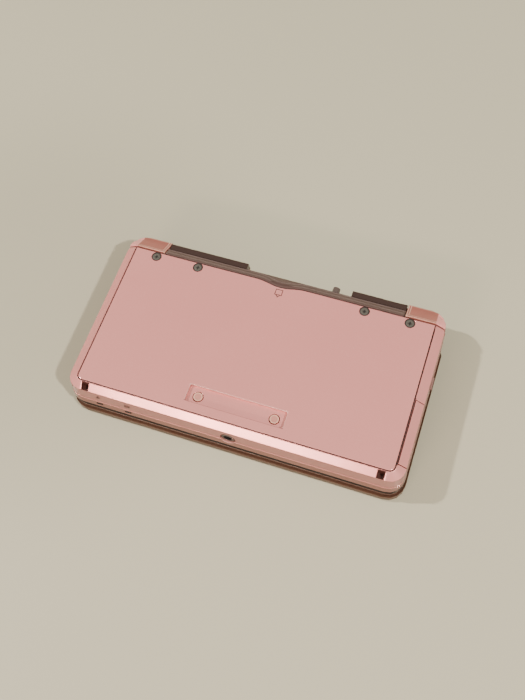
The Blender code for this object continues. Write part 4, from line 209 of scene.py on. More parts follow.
class Finish:
    """A material on one Principled shader, with what its patterns are made of."""

    def __init__(self, name, **sockets):
        self.material = bpy.data.materials.new(name)
        self.material.use_nodes = True
        self.tree = self.material.node_tree
        self.shader = self.tree.nodes["Principled BSDF"]
        self.set(**sockets)
        self.here = self.node("ShaderNodeTexCoord", output="Object")

    def node(self, kind, settings=None, inputs=None, output=0):
        """Adds a node and gives one of its outputs."""
        made = self.tree.nodes.new(kind)
        for name, value in (settings or {}).items():
            setattr(made, name, value)
        for key, value in (inputs or {}).items():
            self.give(made.inputs[key], value)
        return Value(self, made.outputs[output])

    def give(self, socket, value):
        if isinstance(value, Value):
            self.tree.links.new(value.socket, socket)
        elif isinstance(value, tuple) and len(value) == 3 and socket.type == "RGBA":
            socket.default_value = (*value, 1.0)
        else:
            socket.default_value = value

    def set(self, **sockets):
        for name, value in sockets.items():
            self.give(self.shader.inputs[name.replace("_", " ").title().replace("Ior", "IOR")], value)

    def moved(self, scale, rotation=(0.0, 0.0, 0.0)):
        """The place in the part's frame, stretched and turned."""
        inputs = {"Vector": self.here, "Scale": scale, "Rotation": rotation}
        return self.node("ShaderNodeMapping", None, inputs)

    def axis(self, name):
        return self.node("ShaderNodeSeparateXYZ", None, {0: self.here}, output="XYZ".index(name))

    def lean(self, name):
        """How far the surface faces along an axis of the part, -1 to 1."""
        facing = self.node("ShaderNodeTexCoord", output="Normal")
        return self.node("ShaderNodeSeparateXYZ", None, {0: facing}, output="XYZ".index(name))

    def noise(self, scale, detail=2.0, roughness=0.5, vector=None):
        inputs = {"Vector": vector or self.here, "Scale": scale, "Detail": detail, "Roughness": roughness}
        return self.node("ShaderNodeTexNoise", None, inputs)

    def cells(self, scale):
        """One random value for each cell of a fine mosaic."""
        inputs = {"Vector": self.here, "Scale": scale}
        colour = self.node("ShaderNodeTexVoronoi", None, inputs, output="Color")
        return self.node("ShaderNodeSeparateColor", None, {0: colour})

    def band(self, value, low, high, out_low=0.0, out_high=1.0):
        """A smooth step from out_low to out_high while the value goes from low to high."""
        inputs = {0: value, 1: low, 2: high, 3: out_low, 4: out_high}
        return self.node("ShaderNodeMapRange", {"interpolation_type": "SMOOTHSTEP"}, inputs)

    def past(self, value, level):
        """1 where the value is past a level, 0 before it."""
        return self.band(value, level, level + PAINT_EDGE)

    def short_of(self, value, level):
        """1 where the value is short of a level, 0 past it."""
        return self.band(value, level, level + PAINT_EDGE, 1.0, 0.0)

    def between(self, value, low, high, edge=0.00004):
        """1 where the value lies between low and high, 0 outside."""
        inside = self.band(value, low - edge, low + edge)
        return inside * self.band(value, high - edge, high + edge, 1.0, 0.0)

    def away(self, first, second):
        """How far a point lies from the place where both values are 0."""
        return (first * first + second * second) ** 0.5

    def case_edge(self):
        """1 on the outer edge of the case, 0 on the faces inside it."""
        beside = self.band(abs(self.axis("X")), CASE_SIDE, CASE_SIDE + 2 * PAINT_EDGE)
        return beside.larger(self.band(self.axis("Y"), CASE_FRONT - 2 * PAINT_EDGE, CASE_FRONT, 1.0, 0.0))

    def frame(self, x, y, width, depth, line):
        """A printed rectangle's outline about x, y, seen from above."""
        aside = abs(self.axis("X") - x) - width / 2
        along = abs(self.axis("Y") - y) - depth / 2
        return self.between(aside.larger(along), -line / 2, line / 2, line / 4)

    def patch(self, x, y, width, depth):
        """A filled printed rectangle about x, y, seen from above."""
        aside = self.between(self.axis("X"), x - width / 2, x + width / 2)
        return aside * self.between(self.axis("Y"), y - depth / 2, y + depth / 2)

    def mix(self, factor, first, second):
        return self.node("ShaderNodeMix", {"data_type": "RGBA"}, {0: factor, 6: first, 7: second}, output=2)

    def relief(self, height, strength, distance):
        inputs = {"Strength": strength, "Distance": distance, "Height": height}
        self.set(normal=self.node("ShaderNodeBump", None, inputs))


def tinted(colour, share):
    """A colour made lighter (share above 1) or darker."""
    return tuple(min(1.0, channel * share) for channel in colour)


def pearl_paint(finish, colour):
    """Satin paint with fine pearl flakes, painted glints and soft clouds, and painted shade that darkens
    upright walls.

    Gives its colour and roughness.
    """
    clouds = finish.noise(26.0, 3.0)
    flakes = finish.cells(5200.0)
    glints = finish.band(finish.cells(2600.0), 0.93, 1.0)
    paint = finish.mix(clouds, tinted(colour, 0.965), tinted(colour, 1.03))
    paint = finish.mix(finish.band(flakes, 0.2, 1.0, 0.0, 0.16), paint, tinted(colour, 1.22))
    # Sparse flakes painted lighter: painted glints.
    paint = finish.mix(glints * 0.20, paint, tinted(colour, 1.4))
    # Upright walls are painted darker: painted shade.
    upright = finish.band(abs(finish.lean("Z")), 0.25, 0.55, 1.0, 0.0)
    paint = finish.mix(upright * 0.75, paint, tinted(colour, 0.32))
    finish.relief(finish.noise(3400.0, 2.0) + flakes * 0.3, 0.08, 0.00004)
    return paint, finish.band(clouds, 0.3, 0.7, 0.22, 0.27)


def lacquered(name, **sockets):
    """A finish under the pearl paint's clear lacquer."""
    return Finish(name, coat_weight=LACQUER, coat_roughness=0.14, **sockets)


def pearl_plastic(name, colour):
    """The pearl paint alone."""
    finish = lacquered(name, metallic=PEARL_METAL)
    paint, roughness = pearl_paint(finish, colour)
    finish.set(base_color=paint, roughness=roughness)
    return finish.material


def dark_plastic(finish, colour):
    """Smoky brown moulding that fine lines and rubbed patches lighten."""
    rubbed = finish.band(finish.noise(75.0, 5.0, 0.65), 0.55, 0.8)
    grain = finish.noise(2600.0, 3.0)
    paint = finish.mix(grain, tinted(colour, 0.88), tinted(colour, 1.12))
    return finish.mix(rubbed * 0.10, paint, tinted(colour, 2.0))


def cover_plate(name, colour):
    """The pearl paint of the plate, with painted shade down its edges in the gap about it, and a printed
    card sign at its rear.

    The contact slot's outline has painted shade along its front edge and a painted highlight along the rest.
    """
    finish = lacquered(name, metallic=PEARL_METAL)
    paint, roughness = pearl_paint(finish, colour)
    card = finish.frame(*CARD_OUTLINE) * (1.0 - finish.patch(*CARD_NOTCH))
    sign = card.larger(finish.frame(*CARD_TONGUE)).larger(finish.patch(*CARD_FOOT))
    paint = finish.mix(sign, paint, INK)
    # The slot's outline: painted shade along its front edge, a painted highlight along the rest.
    outline = finish.frame(0.0, SLOT_MIDDLE, SLOT_WIDTH, SLOT_DEPTH, SLOT_LINE)
    nearer = finish.band(finish.axis("Y"), *SLOT_FRONT_LINE, 1.0, 0.0)
    paint = finish.mix(outline * nearer * 0.7, paint, tinted(colour, 0.30))
    paint = finish.mix(outline * (1.0 - nearer) * 0.8, paint, SLOT_HIGHLIGHT)
    # The plate's walls at its edges, in the gap about it, are painted near black: painted shade.
    side, front, rear = PLATE_RIM
    rim = (abs(finish.axis("X")) - side).larger(front - finish.axis("Y")).larger(finish.axis("Y") - rear)
    gap_wall_shade = finish.past(rim, 0.0) * (1.0 - finish.band(finish.axis("Z"), *PLATE_TOP))
    finish.set(base_color=finish.mix(gap_wall_shade, paint, GAP_SHADE_BROWN), roughness=roughness)
    return finish.material


def bottom_plastic(name, colour):
    """The same paint on the bottom shell, with the bare smoky rail behind the plate.

    The sliver of shell between the plate and the card door is painted darker: painted shade between the two
    gaps.
    """
    finish = lacquered(name, metallic=PEARL_METAL)
    paint, roughness = pearl_paint(finish, colour)
    rail = finish.past(finish.axis("Y"), RAIL_FRONT) * finish.short_of(abs(finish.axis("X")), SHOULDER_END)
    paint = finish.mix(rail, paint, dark_plastic(finish, RAIL_BROWN))
    # The sliver between the plate and the card door is painted darker: painted shade.
    sliver = finish.between(finish.axis("X"), PLATE_SIDE, DOOR_EDGE)
    sliver = sliver * finish.between(finish.axis("Y"), DOOR_FRONT, DOOR_REAR)
    finish.set(base_color=finish.mix(sliver, paint, tinted(colour, 0.45)))
    finish.set(roughness=roughness + rail * 0.06)
    return finish.material


def control_plastic(name, colour):
    """Rose pearl all over, with the dark brown blocks on its rear edge.

    Its lip over the lid is painted near black, painted shade in the gap between lid and base; the surrounds
    of the two lights are near black too.
    """
    finish = lacquered(name, specular_ior_level=0.12)
    paint, roughness = pearl_paint(finish, colour)
    block = finish.past(finish.axis("Y"), BLOCK_FRONT) * finish.past(finish.axis("Z"), BLOCK_LEVEL)
    paint = finish.mix(block, paint, dark_plastic(finish, BLOCK_BROWN))
    # The lip over the lid is painted near black: painted shade in the gap between lid and base.
    lip = finish.band(finish.axis("Z"), LIP_LEVEL - PAINT_EDGE, LIP_LEVEL + PAINT_EDGE, 1.0, 0.0)
    lip = lip * finish.case_edge()
    beside = abs(finish.axis("X") - LIGHT_XS[0]).smaller(abs(finish.axis("X") - LIGHT_XS[1]))
    window = finish.short_of(beside, LIGHT_SIDE)
    window = window * finish.between(finish.axis("Z"), LIGHT_LEVEL - LIGHT_RISE, LIGHT_LEVEL + LIGHT_RISE)
    lip = lip.larger(window * finish.band(finish.axis("Y"), *LIGHT_BACK, 1.0, 0.0))
    finish.set(base_color=finish.mix(lip, paint, tinted(GAP_SHADE_BROWN, 0.4)))
    finish.set(roughness=roughness + block * 0.10 + lip * 0.4, coat_weight=LACQUER - lip * LACQUER)
    finish.set(metallic=(1.0 - lip) * PEARL_METAL)
    return finish.material


def shoulder_plastic(name, colour):
    """Cloudy see-through salmon with peach lines painted where its moulded inner edges lie: painted
    reflections of those edges.

    Its outer corner is painted.
    """
    finish = Finish(name, coat_weight=0.25, coat_roughness=0.08)
    clouds = finish.noise(120.0, 4.0, 0.6)
    rubbed = finish.band(finish.noise(420.0, 5.0, 0.7), 0.55, 0.8)
    across = abs(finish.axis("X"))
    along = finish.axis("Y")
    body = finish.mix(clouds, tinted(colour, 0.90), tinted(colour, 1.12))
    body = finish.mix(finish.band(along, *SHOULDER_SHADE) * 0.45, body, tinted(colour, 0.62))
    # Peach lines: painted reflections of the moulded inner edges.
    lines = finish.between(along, *FRONT_LINE).larger(finish.between(along, *SECOND_LINE))
    lines = lines.larger(finish.between(across, *INNER_LINE))
    lines = lines.larger(finish.between(across, *NEXT_LINE) * finish.past(along, NEXT_LINE_FRONT))
    lines = lines.larger(finish.between(along, *REAR_LINE) * 0.6)
    body = finish.mix(lines * 0.8, body, PEACH_REFLECTION)
    painted, roughness = pearl_paint(finish, PEARL_PINK)
    corner = finish.band(across, *SHOULDER_CORNER)
    finish.set(base_color=finish.mix(corner, finish.mix(rubbed * 0.10, body, tinted(colour, 1.5)), painted))
    finish.set(roughness=finish.band(rubbed, 0.0, 1.0, 0.20, 0.28) * (1.0 - corner) + roughness * corner)
    finish.relief(finish.noise(1500.0, 2.0), 0.04, 0.00004)
    return finish.material


def screw_steel(name, colour):
    """Blackened steel with worn lighter patches, painted shade in its turned groove and its cross, and
    painted near black below the head's top as shade down in its well.
    """
    finish = Finish(name, metallic=0.35)
    across = abs(finish.axis("X"))
    aside = abs(across - SCREW_XS[0]).smaller(abs(across - SCREW_XS[1]))
    middle = finish.away(aside, finish.axis("Y") - SCREW_Y)
    cross = finish.band(middle, *SCREW_CROSS, 1.0, 0.0)
    # The turned groove and the cross are painted dark: painted shade in them.
    groove = finish.between(middle, *SCREW_GROOVE, RING_EDGE).larger(cross)
    turned = finish.noise(2600.0, 3.0, 0.6)
    worn = finish.band(finish.noise(900.0, 4.0, 0.6), 0.5, 0.8)
    # Below the head's top the steel is painted near black: painted shade down in the well.
    height = finish.band(finish.axis("Z"), *SCREW_DEPTH)
    paint = finish.mix(turned, tinted(colour, 0.8), tinted(colour, 1.2))
    paint = finish.mix(worn * 0.35, paint, tinted(colour, 1.9))
    paint = finish.mix(groove * 0.75, paint, tinted(colour, 0.15))
    finish.set(base_color=finish.mix(height, tinted(colour, 0.08), paint))
    finish.set(roughness=0.50 + turned * 0.12 - worn * 0.06)
    finish.relief(turned, 0.10, 0.00003)
    return finish.material


def contact_metal(name):
    """A round charging contact: a pale ring about a rosy gilt middle."""
    finish = Finish(name, metallic=0.2)
    middle = finish.away(abs(finish.axis("X")) - CONTACT_PLACE[0], finish.axis("Y") - CONTACT_PLACE[1])
    ring = finish.between(middle, *CONTACT_RING, RING_EDGE)
    tarnish = finish.band(finish.noise(700.0, 4.0, 0.6), 0.45, 0.75)
    face = finish.mix(tarnish * 0.5, GILT, WORN_GILT)
    finish.set(base_color=finish.mix(ring, face, PALE_GILT))
    finish.set(roughness=0.34 + tarnish * 0.12 - ring * 0.08)
    finish.relief(finish.noise(2400.0, 2.0) + ring * 1.5, 0.12, 0.00004)
    return finish.material


def jack_metal(name):
    """The headphone jack: a grey metal collar about a black bore."""
    finish = Finish(name, metallic=0.7)
    middle = finish.away(finish.axis("X"), finish.axis("Z") - JACK_LEVEL)
    bore = finish.band(middle, *JACK_BORE, 1.0, 0.0)
    turned = finish.noise(2200.0, 3.0)
    collar = finish.mix(turned, COLLAR_DARK, COLLAR_PALE)
    finish.set(base_color=finish.mix(bore, collar, BORE_BLACK))
    finish.set(roughness=0.34 + turned * 0.12 + bore * 0.2)
    finish.relief(turned, 0.08, 0.00003)
    return finish.material


def bezel_gloss(name, colour):
    """Black gloss on the side that faces the user, and the lid's brown round its edge."""
    finish = Finish(name, coat_roughness=0.06, specular_ior_level=0.05)
    clouds = finish.noise(30.0, 3.0)
    smudges = finish.band(finish.noise(55.0, 6.0, 0.7), 0.48, 0.75)
    dust = finish.band(finish.cells(1500.0), 0.985, 1.0) * finish.band(finish.noise(400.0, 3.0), 0.5, 0.7)
    edge = finish.band(abs(finish.lean("Z")), 0.35, 0.55, 1.0, 0.0)
    edge = edge * finish.band(finish.axis("Z"), *BEZEL_EDGE_TOP, 1.0, 0.0)
    face = finish.mix(clouds, tinted(colour, 0.85), tinted(colour, 1.25))
    face = finish.mix(dust * 0.10, face, DUST)
    brown = finish.mix(clouds, tinted(LID_CLEAR, 0.25), tinted(LID_CLEAR, 0.35))
    finish.set(base_color=finish.mix(edge, face, brown))
    rim = finish.case_edge()
    finish.set(roughness=0.09 + smudges * 0.12 + rim * 0.35, coat_weight=0.4 - rim * 0.4)
    finish.relief(finish.noise(700.0, 2.0), 0.02, 0.00005)
    return finish.material


def lid_clear(name, colour):
    """The lid's clear cover. It looks tinted by the painted shell behind it, with a painted highlight along
    its rim and painted shade at its foot and on faces that look up.
    """
    finish = Finish(name, transmission_weight=0.04, ior=1.49, specular_ior_level=0.12)
    smudges = finish.band(finish.noise(60.0, 6.0, 0.7), 0.5, 0.8)
    hairs = finish.noise(900.0, 2.0, 0.5, finish.moved((1.0, 0.04, 1.0), rotation=(0.0, 0.0, 0.9)))
    hairs = finish.band(hairs, 0.66, 0.72)
    height = finish.axis("Z")
    # A pale line along the rim: painted highlight.
    rim = finish.between(height, *LID_RIM_HIGHLIGHT, 0.00015) * 0.55
    # Darker towards the foot: painted shade where the cover meets the table.
    low = finish.band(height, *LID_FOOT_SHADE, 1.0, 0.0)
    paint = finish.mix(finish.noise(30.0, 3.0), tinted(colour, 0.94), tinted(colour, 1.06))
    paint = finish.mix(low * 0.35, paint, tinted(colour, 0.6))
    paint = finish.mix(rim, paint, tinted(colour, 1.8))
    # Faces that look up are painted darker: painted shade.
    paint = finish.mix(finish.band(finish.lean("Z"), 0.4, 0.8), paint, tinted(colour, 0.75))
    finish.set(base_color=finish.mix(smudges * 0.2, paint, tinted(colour, 0.9)))
    finish.set(roughness=0.16 + smudges * 0.07 + hairs * 0.10)
    finish.relief(hairs, 0.04, 0.00002)
    return finish.material


def moulded_plastic(name, colour, roughness, grain=2600.0, depth=0.10, coat=0.0):
    """Plain moulded plastic: fine spark-eroded grain, slight flow clouds and rubbed patches."""
    finish = Finish(name, coat_weight=coat, coat_roughness=0.1)
    clouds = finish.noise(40.0, 3.0)
    speckle = finish.noise(grain, 3.0)
    rubbed = finish.band(finish.noise(75.0, 4.0, 0.65), 0.52, 0.78)
    paint = finish.mix(clouds, tinted(colour, 0.92), tinted(colour, 1.08))
    paint = finish.mix(rubbed * 0.10, paint, tinted(colour, 1.4))
    paint = finish.mix(finish.band(speckle, 0.3, 0.7, 0.0, 0.10), paint, tinted(colour, 0.8))
    finish.set(base_color=paint)
    finish.set(roughness=roughness + speckle * 0.06 - rubbed * 0.05)
    finish.relief(speckle, depth, 0.00005)
    return finish.material


def gloss_paint(name, colour):
    """Deep gloss with metallic flecks under the lacquer and light finger smudges on it."""
    finish = Finish(name, coat_weight=0.2, coat_roughness=0.08, specular_ior_level=0.3)
    clouds = finish.noise(30.0, 3.0)
    flecks = finish.band(finish.cells(4200.0), 0.7, 1.0)
    smudges = finish.band(finish.noise(55.0, 6.0, 0.7), 0.48, 0.75)
    paint = finish.mix(clouds, tinted(colour, 0.93), tinted(colour, 1.07))
    finish.set(base_color=finish.mix(flecks * 0.28, paint, tinted(colour, 1.7)))
    finish.set(roughness=0.12 + smudges * 0.12)
    finish.relief(finish.noise(700.0, 2.0), 0.03, 0.00005)
    return finish.material


def glass(name, colour, tile=0.0):
    """Dark window glass with finger smudges. tile is the width of the pixels that show through it."""
    finish = Finish(name, coat_weight=0.5, coat_roughness=0.02)
    smudges = finish.band(finish.noise(45.0, 6.0, 0.7), 0.5, 0.8)
    dust = finish.band(finish.cells(1400.0), 0.985, 1.0) * finish.band(finish.noise(400.0, 3.0), 0.5, 0.7)
    paint = finish.mix(finish.noise(12.0), tinted(colour, 0.8), tinted(colour, 1.3))
    if tile:
        stripes = finish.node("ShaderNodeTexWave", {"bands_direction": "X"},
                              {"Vector": finish.here, "Scale": 0.314 / tile}, output=1)
        paint = finish.mix(stripes * 0.25, paint, tinted(colour, 1.6))
    finish.set(base_color=finish.mix(dust * 0.10, paint, DUST))
    finish.set(roughness=0.05 + smudges * 0.10 + dust * 0.3)
    finish.relief(finish.noise(220.0, 2.0), 0.01, 0.00005)
    return finish.material


def brushed_metal(name, colour, roughness):
    """Drawn or stamped metal with fine lines and stains."""
    finish = Finish(name, metallic=1.0)
    lines = finish.noise(2600.0, 3.0, 0.6, finish.moved((1.0, 0.03, 1.0)))
    stains = finish.band(finish.noise(160.0, 4.0, 0.6), 0.45, 0.75)
    paint = finish.mix(lines, tinted(colour, 0.8), tinted(colour, 1.15))
    finish.set(base_color=finish.mix(stains * 0.35, paint, tinted(colour, 0.62)))
    finish.set(roughness=roughness + lines * 0.10 + stains * 0.08)
    finish.relief(lines, 0.10, 0.00003)
    return finish.material


def circuit_board(name, mask):
    """Solder mask over copper tracks, with tinned pads between them."""
    finish = Finish(name, coat_weight=0.3, coat_roughness=0.15)
    tracks = finish.node("ShaderNodeTexBrick", {"offset": 0.5},
                         {"Vector": finish.here, "Scale": 260.0, "Mortar Size": 0.06, "Brick Width": 0.9,
                          "Row Height": 0.22, "Color1": (0.0, 0.0, 0.0, 1.0), "Color2": (0.0, 0.0, 0.0, 1.0),
                          "Mortar": (1.0, 1.0, 1.0, 1.0)})
    pads = finish.band(finish.cells(820.0), 0.90, 0.94)
    paint = finish.mix(tracks * 0.5, mask, tinted(mask, 2.2))
    finish.set(base_color=finish.mix(pads, paint, TINNED))
    finish.set(metallic=pads, roughness=0.40 - pads * 0.12)
    finish.relief(tracks + pads, 0.20, 0.00006)
    return finish.material


def film(name, colour):
    """Amber cable film with its copper lines along X."""
    finish = Finish(name, coat_weight=0.4, coat_roughness=0.12)
    lines = finish.node("ShaderNodeTexWave", {"bands_direction": "Y"},
                        {"Vector": finish.here, "Scale": 700.0}, output=1)
    copper = finish.band(lines, 0.45, 0.65)
    wrinkles = finish.noise(240.0, 3.0)
    finish.set(base_color=finish.mix(copper, colour, COPPER))
    finish.set(roughness=0.30 + wrinkles * 0.15, metallic=copper * 0.6)
    finish.relief(wrinkles + copper * 0.4, 0.20, 0.00006)
    return finish.material


def cell_wrap(name, colour):
    """The battery's shrink wrap, slightly creased, with a lighter band round its middle."""
    finish = Finish(name, coat_weight=0.2, coat_roughness=0.2)
    creases = finish.noise(130.0, 5.0, 0.6, finish.moved((1.0, 0.3, 1.0)))
    middle = finish.band(abs(finish.axis("Y") - CELL_MIDDLE), *CELL_BAND, 1.0, 0.0)
    paint = finish.mix(creases, tinted(colour, 0.85), tinted(colour, 1.15))
    finish.set(base_color=finish.mix(middle * 0.35, paint, CELL_LABEL))
    finish.set(roughness=0.38 + creases * 0.14)
    finish.relief(creases, 0.20, 0.0002)
    return finish.material


def table_top(name, colour):
    """A smooth lacquered table with the faintest clouds, and a painted shadow to the left of the case."""
    finish = Finish(name, specular_ior_level=0.15, coat_weight=0.12, coat_roughness=0.25)
    clouds = finish.noise(3.0, 3.0)
    specks = finish.noise(900.0, 2.0)
    paint = finish.mix(clouds, tinted(colour, 0.97), tinted(colour, 1.03))
    # A darker patch left of the case: painted shadow.
    painted_shadow = finish.away(finish.axis("X") - SHADOW_PLACE[0], finish.axis("Y") - SHADOW_PLACE[1])
    painted_shadow = finish.band(painted_shadow, *SHADOW_REACH, 1.0, 0.0)
    paint = finish.mix(painted_shadow, paint, tinted(colour, 0.87))
    finish.set(base_color=finish.mix(finish.band(specks, 0.3, 0.7, 0.0, 0.05), paint, tinted(colour, 0.85)))
    finish.set(roughness=0.36 + specks * 0.06)
    finish.relief(finish.noise(60.0, 2.0), 0.02, 0.0002)
    return finish.material


FINISHES = {
    "pearl": pearl_plastic("pearl_pink", PEARL_PINK),
    "plate": cover_plate("pearl_plate", PEARL_PINK),
    "bottom": bottom_plastic("pearl_bottom", PEARL_PINK),
    "shell": control_plastic("rose_pearl", ROSE),
    "brown": gloss_paint("brown_gloss", LID_BROWN),
    "clear": lid_clear("clear_cover", LID_CLEAR),
    "salmon": shoulder_plastic("clear_salmon", SALMON),
    "screw": screw_steel("black_screw", (0.115, 0.105, 0.085)),
    "contact": contact_metal("charging_contact"),
    "jack": jack_metal("jack_metal"),
    "seam": moulded_plastic("seam_shade", GAP_SHADE_BROWN, 0.6),
    "rib": moulded_plastic("rail_rib", (0.20, 0.135, 0.12), 0.34, coat=0.1),
    "hollow": moulded_plastic("strap_hole_shade", (0.085, 0.022, 0.014), 0.5),
    "stylus": moulded_plastic("stylus_brown", (0.115, 0.080, 0.068), 0.3, coat=0.3),
    "black": bezel_gloss("black_gloss", (0.012, 0.011, 0.011)),
    "window": glass("window_glass", (0.012, 0.013, 0.015)),
    "screen": glass("screen_glass", (0.020, 0.022, 0.026), 0.0003),
    "panel": brushed_metal("panel_backing", (0.30, 0.30, 0.31), 0.38),
    "key": moulded_plastic("key_plastic", (0.34, 0.19, 0.16), 0.36, coat=0.1),
    "pad": moulded_plastic("pad_grey", (0.17, 0.165, 0.165), 0.5, 1800.0, 0.25),
    "board": circuit_board("circuit_board", (0.015, 0.10, 0.045)),
    "tin": brushed_metal("tinned_sheet", (0.62, 0.62, 0.63), 0.26),
    "steel": brushed_metal("dark_steel", (0.26, 0.25, 0.22), 0.34),
    "cell": cell_wrap("battery_wrap", (0.22, 0.23, 0.25)),
    "socket": moulded_plastic("socket_black", (0.030, 0.030, 0.030), 0.45, 2200.0, 0.2),
    "cable": film("flat_cable", (0.45, 0.22, 0.05)),
    "smoke": moulded_plastic("smoked_light", (0.022, 0.012, 0.010), 0.30, 900.0, 0.02),
    "ink": moulded_plastic("printed_ink", INK, 0.6, 4000.0, 0.05),
}

# Each node's finish, and the radius of its edges where its solid is shown softened
DRESS = {
    "lid_cover": ("clear", 0.00025), "lid_shell": ("brown", 0.00020), "lid_bezel": ("black", 0.00012),
    "upper_lcd": ("panel", 0), "upper_screen_window": ("screen", 0.00008),
    "left_speaker": ("socket", 0), "right_speaker": ("socket", 0), "camera_module": ("socket", 0),
    "left_camera_window": ("window", 0), "right_camera_window": ("window", 0),
    "hinge_clutch": ("steel", 0), "hinge_cable": ("cable", 0), "depth_slider": ("key", 0.00015),
    "control_shell": ("shell", 0.00015), "bottom_shell": ("bottom", 0.00012),
    "bottom_cover": ("plate", 0.00010), "hinge_shaft": ("steel", 0),
    "cover_screw_left_outer": ("screw", 0.00010), "cover_screw_left_inner": ("screw", 0.00010),
    "cover_screw_right_outer": ("screw", 0.00010), "cover_screw_right_inner": ("screw", 0.00010),
    "shell_screw_left_front": ("steel", 0), "shell_screw_left_rear": ("steel", 0),
    "shell_screw_right_front": ("steel", 0), "shell_screw_right_rear": ("steel", 0),
    "lower_lcd": ("panel", 0), "touch_panel": ("screen", 0.00008), "circle_housing": ("socket", 0),
    "main_board": ("board", 0), "wireless_board": ("board", 0), "battery": ("cell", 0.0004),
    "left_charging_contact": ("contact", 0.0001), "right_charging_contact": ("contact", 0.0001),
    "game_card_socket": ("tin", 0), "sd_card": ("socket", 0.0001), "sd_socket": ("tin", 0),
    "headphone_jack": ("jack", 0.0001), "power_connector": ("socket", 0.0001), "light_guide": ("smoke", 0),
    "left_shoulder_switch": ("socket", 0), "right_shoulder_switch": ("socket", 0),
    "button_a": ("key", 0.0002), "button_b": ("key", 0.0002), "button_x": ("key", 0.0002),
    "button_y": ("key", 0.0002), "power_button": ("key", 0.0002), "select_button": ("key", 0.0001),
    "home_button": ("key", 0.0001), "start_button": ("key", 0.0001), "circle_slider": ("socket", 0),
    "circle_pad": ("pad", 0.0002), "d_pad_pivot": ("socket", 0), "d_pad": ("pad", 0.0002),
    "volume_slider": ("key", 0.00015), "wireless_switch": ("key", 0.00015), "sd_door": ("pearl", 0.00012),
    "stylus": ("stylus", 0.00015), "stylus_tip": ("pad", 0.0001),
    "left_shoulder_button": ("salmon", 0.0001), "right_shoulder_button": ("salmon", 0.0001),
}

SCREW_PLACES = tuple(
    tuple((low + high) / 2 for low, high in zip(*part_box(node)))[:2]
    for node in DRESS if node.startswith("cover_screw"))


def shown(name, shape, body, finish, slot, *replaced):
    """A new piece from a bmesh, riding on its body and standing for the nodes it replaces."""
    mesh = bpy.data.meshes.new(name)
    shape.to_mesh(mesh)
    shape.free()
    piece = bpy.data.objects.new(name, mesh)
    bpy.context.scene.collection.objects.link(piece)
    mesh.materials.append(FINISHES[finish])
    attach(piece, body)
    if replaced:
        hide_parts(*replaced)
    return piece


def soften(piece, radius):
    """Rounds the piece's sharp edges and shades the rest smooth."""
    for face in piece.data.polygons:
        face.use_smooth = True
    bevel = piece.modifiers.new("edge", "BEVEL")
    bevel.width = radius
    bevel.segments = EDGE_SEGMENTS
    bevel.limit_method = "ANGLE"
    bevel.angle_limit = SMOOTH_ANGLE
    bevel.use_clamp_overlap = False
    bevel.loop_slide = False
    bevel.harden_normals = True
    evened = piece.modifiers.new("shading", "WEIGHTED_NORMAL")
    evened.keep_sharp = True


def softened(node, body, finish, radius):
    """The node's own solid with rounded edges."""
    shape = bmesh.new()
    shape.from_mesh(frame["nodes"][node].data)
    bmesh.ops.remove_doubles(shape, verts=shape.verts, dist=MERGE_DISTANCE)
    bmesh.ops.dissolve_limit(shape, angle_limit=FLAT_ANGLE, verts=shape.verts, edges=shape.edges)
    bmesh.ops.triangulate(shape, faces=shape.faces, quad_method="BEAUTY", ngon_method="BEAUTY")
    soften(shown(node + "_finished", shape, body, finish, node, node), radius)


def dress_nodes():
    """Gives every node its finish, and shows those with a radius with rounded edges."""
    for body, members in frame["record"]["behaviour"]["bodies"].items():
        for node in members:
            finish, radius = DRESS[node]
            held = frame["nodes"][node]
            held.data.materials.clear()
            held.data.materials.append(FINISHES[finish])
            if radius:
                softened(node, body, finish, radius)


def plate_seam_shade():
    """A dark strip of painted shade in the gap about the plate, filled to just below its top but left open
    by the shoulder buttons.
    """
    shape = bmesh.new()
    shape.from_mesh(frame["nodes"]["bottom_cover"].data)
    bmesh.ops.remove_doubles(shape, verts=shape.verts, dist=MERGE_DISTANCE)
    low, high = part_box("bottom_cover")
    inner = []
    for face in shape.faces:
        place = face.calc_center_median().to_2d()
        near_screw = any((place - Vector(screw)).length < SCREW_WELL for screw in SCREW_PLACES)
        in_slot = abs(place.x) < SLOT_CLEAR[0] and abs(place.y - CONTACT_PLACE[1]) < SLOT_CLEAR[1]
        by_shoulder = abs(place.x) > SHOULDER_END and place.y > PLATE_RIM[2]
        if abs(face.normal.z) > FLAT_LEAN or near_screw or in_slot or by_shoulder:
            inner.append(face)
    bmesh.ops.delete(shape, geom=inner, context="FACES")
    for vert in shape.verts:
        vert.co.z = high[2] - SEAM_DEPTH if vert.co.z > high[2] - SEAM_TOP else low[2] + SEAM_DEPTH
    bmesh.ops.solidify(shape, geom=shape.faces, thickness=-SEAM_WIDTH)
    bmesh.ops.recalc_face_normals(shape, faces=shape.faces)
    shown("plate_seam_shade", shape, "base", "seam", "bottom_cover")


def edge_rib(name, away):
    """A fine raised line on the rail, that follows the plate's rear edge at a distance."""
    shape = bmesh.new()
    verts = [shape.verts.new((x, y + away, FRAME_TOP - RIB_DROP)) for x, y in PLATE_REAR_EDGE]
    line = [shape.edges.new(pair) for pair in zip(verts, verts[1:])]
    made = bmesh.ops.extrude_edge_only(shape, edges=line)
    moved = [item for item in made["geom"] if isinstance(item, bmesh.types.BMVert)]
    bmesh.ops.translate(shape, verts=moved, vec=(0.0, RIB_WIDTH, 0.0))
    bmesh.ops.solidify(shape, geom=shape.faces, thickness=RIB_DROP)
    bmesh.ops.recalc_face_normals(shape, faces=shape.faces)
    soften(shown(name, shape, "base", "rib", "bottom_shell"), RIB_EDGE)


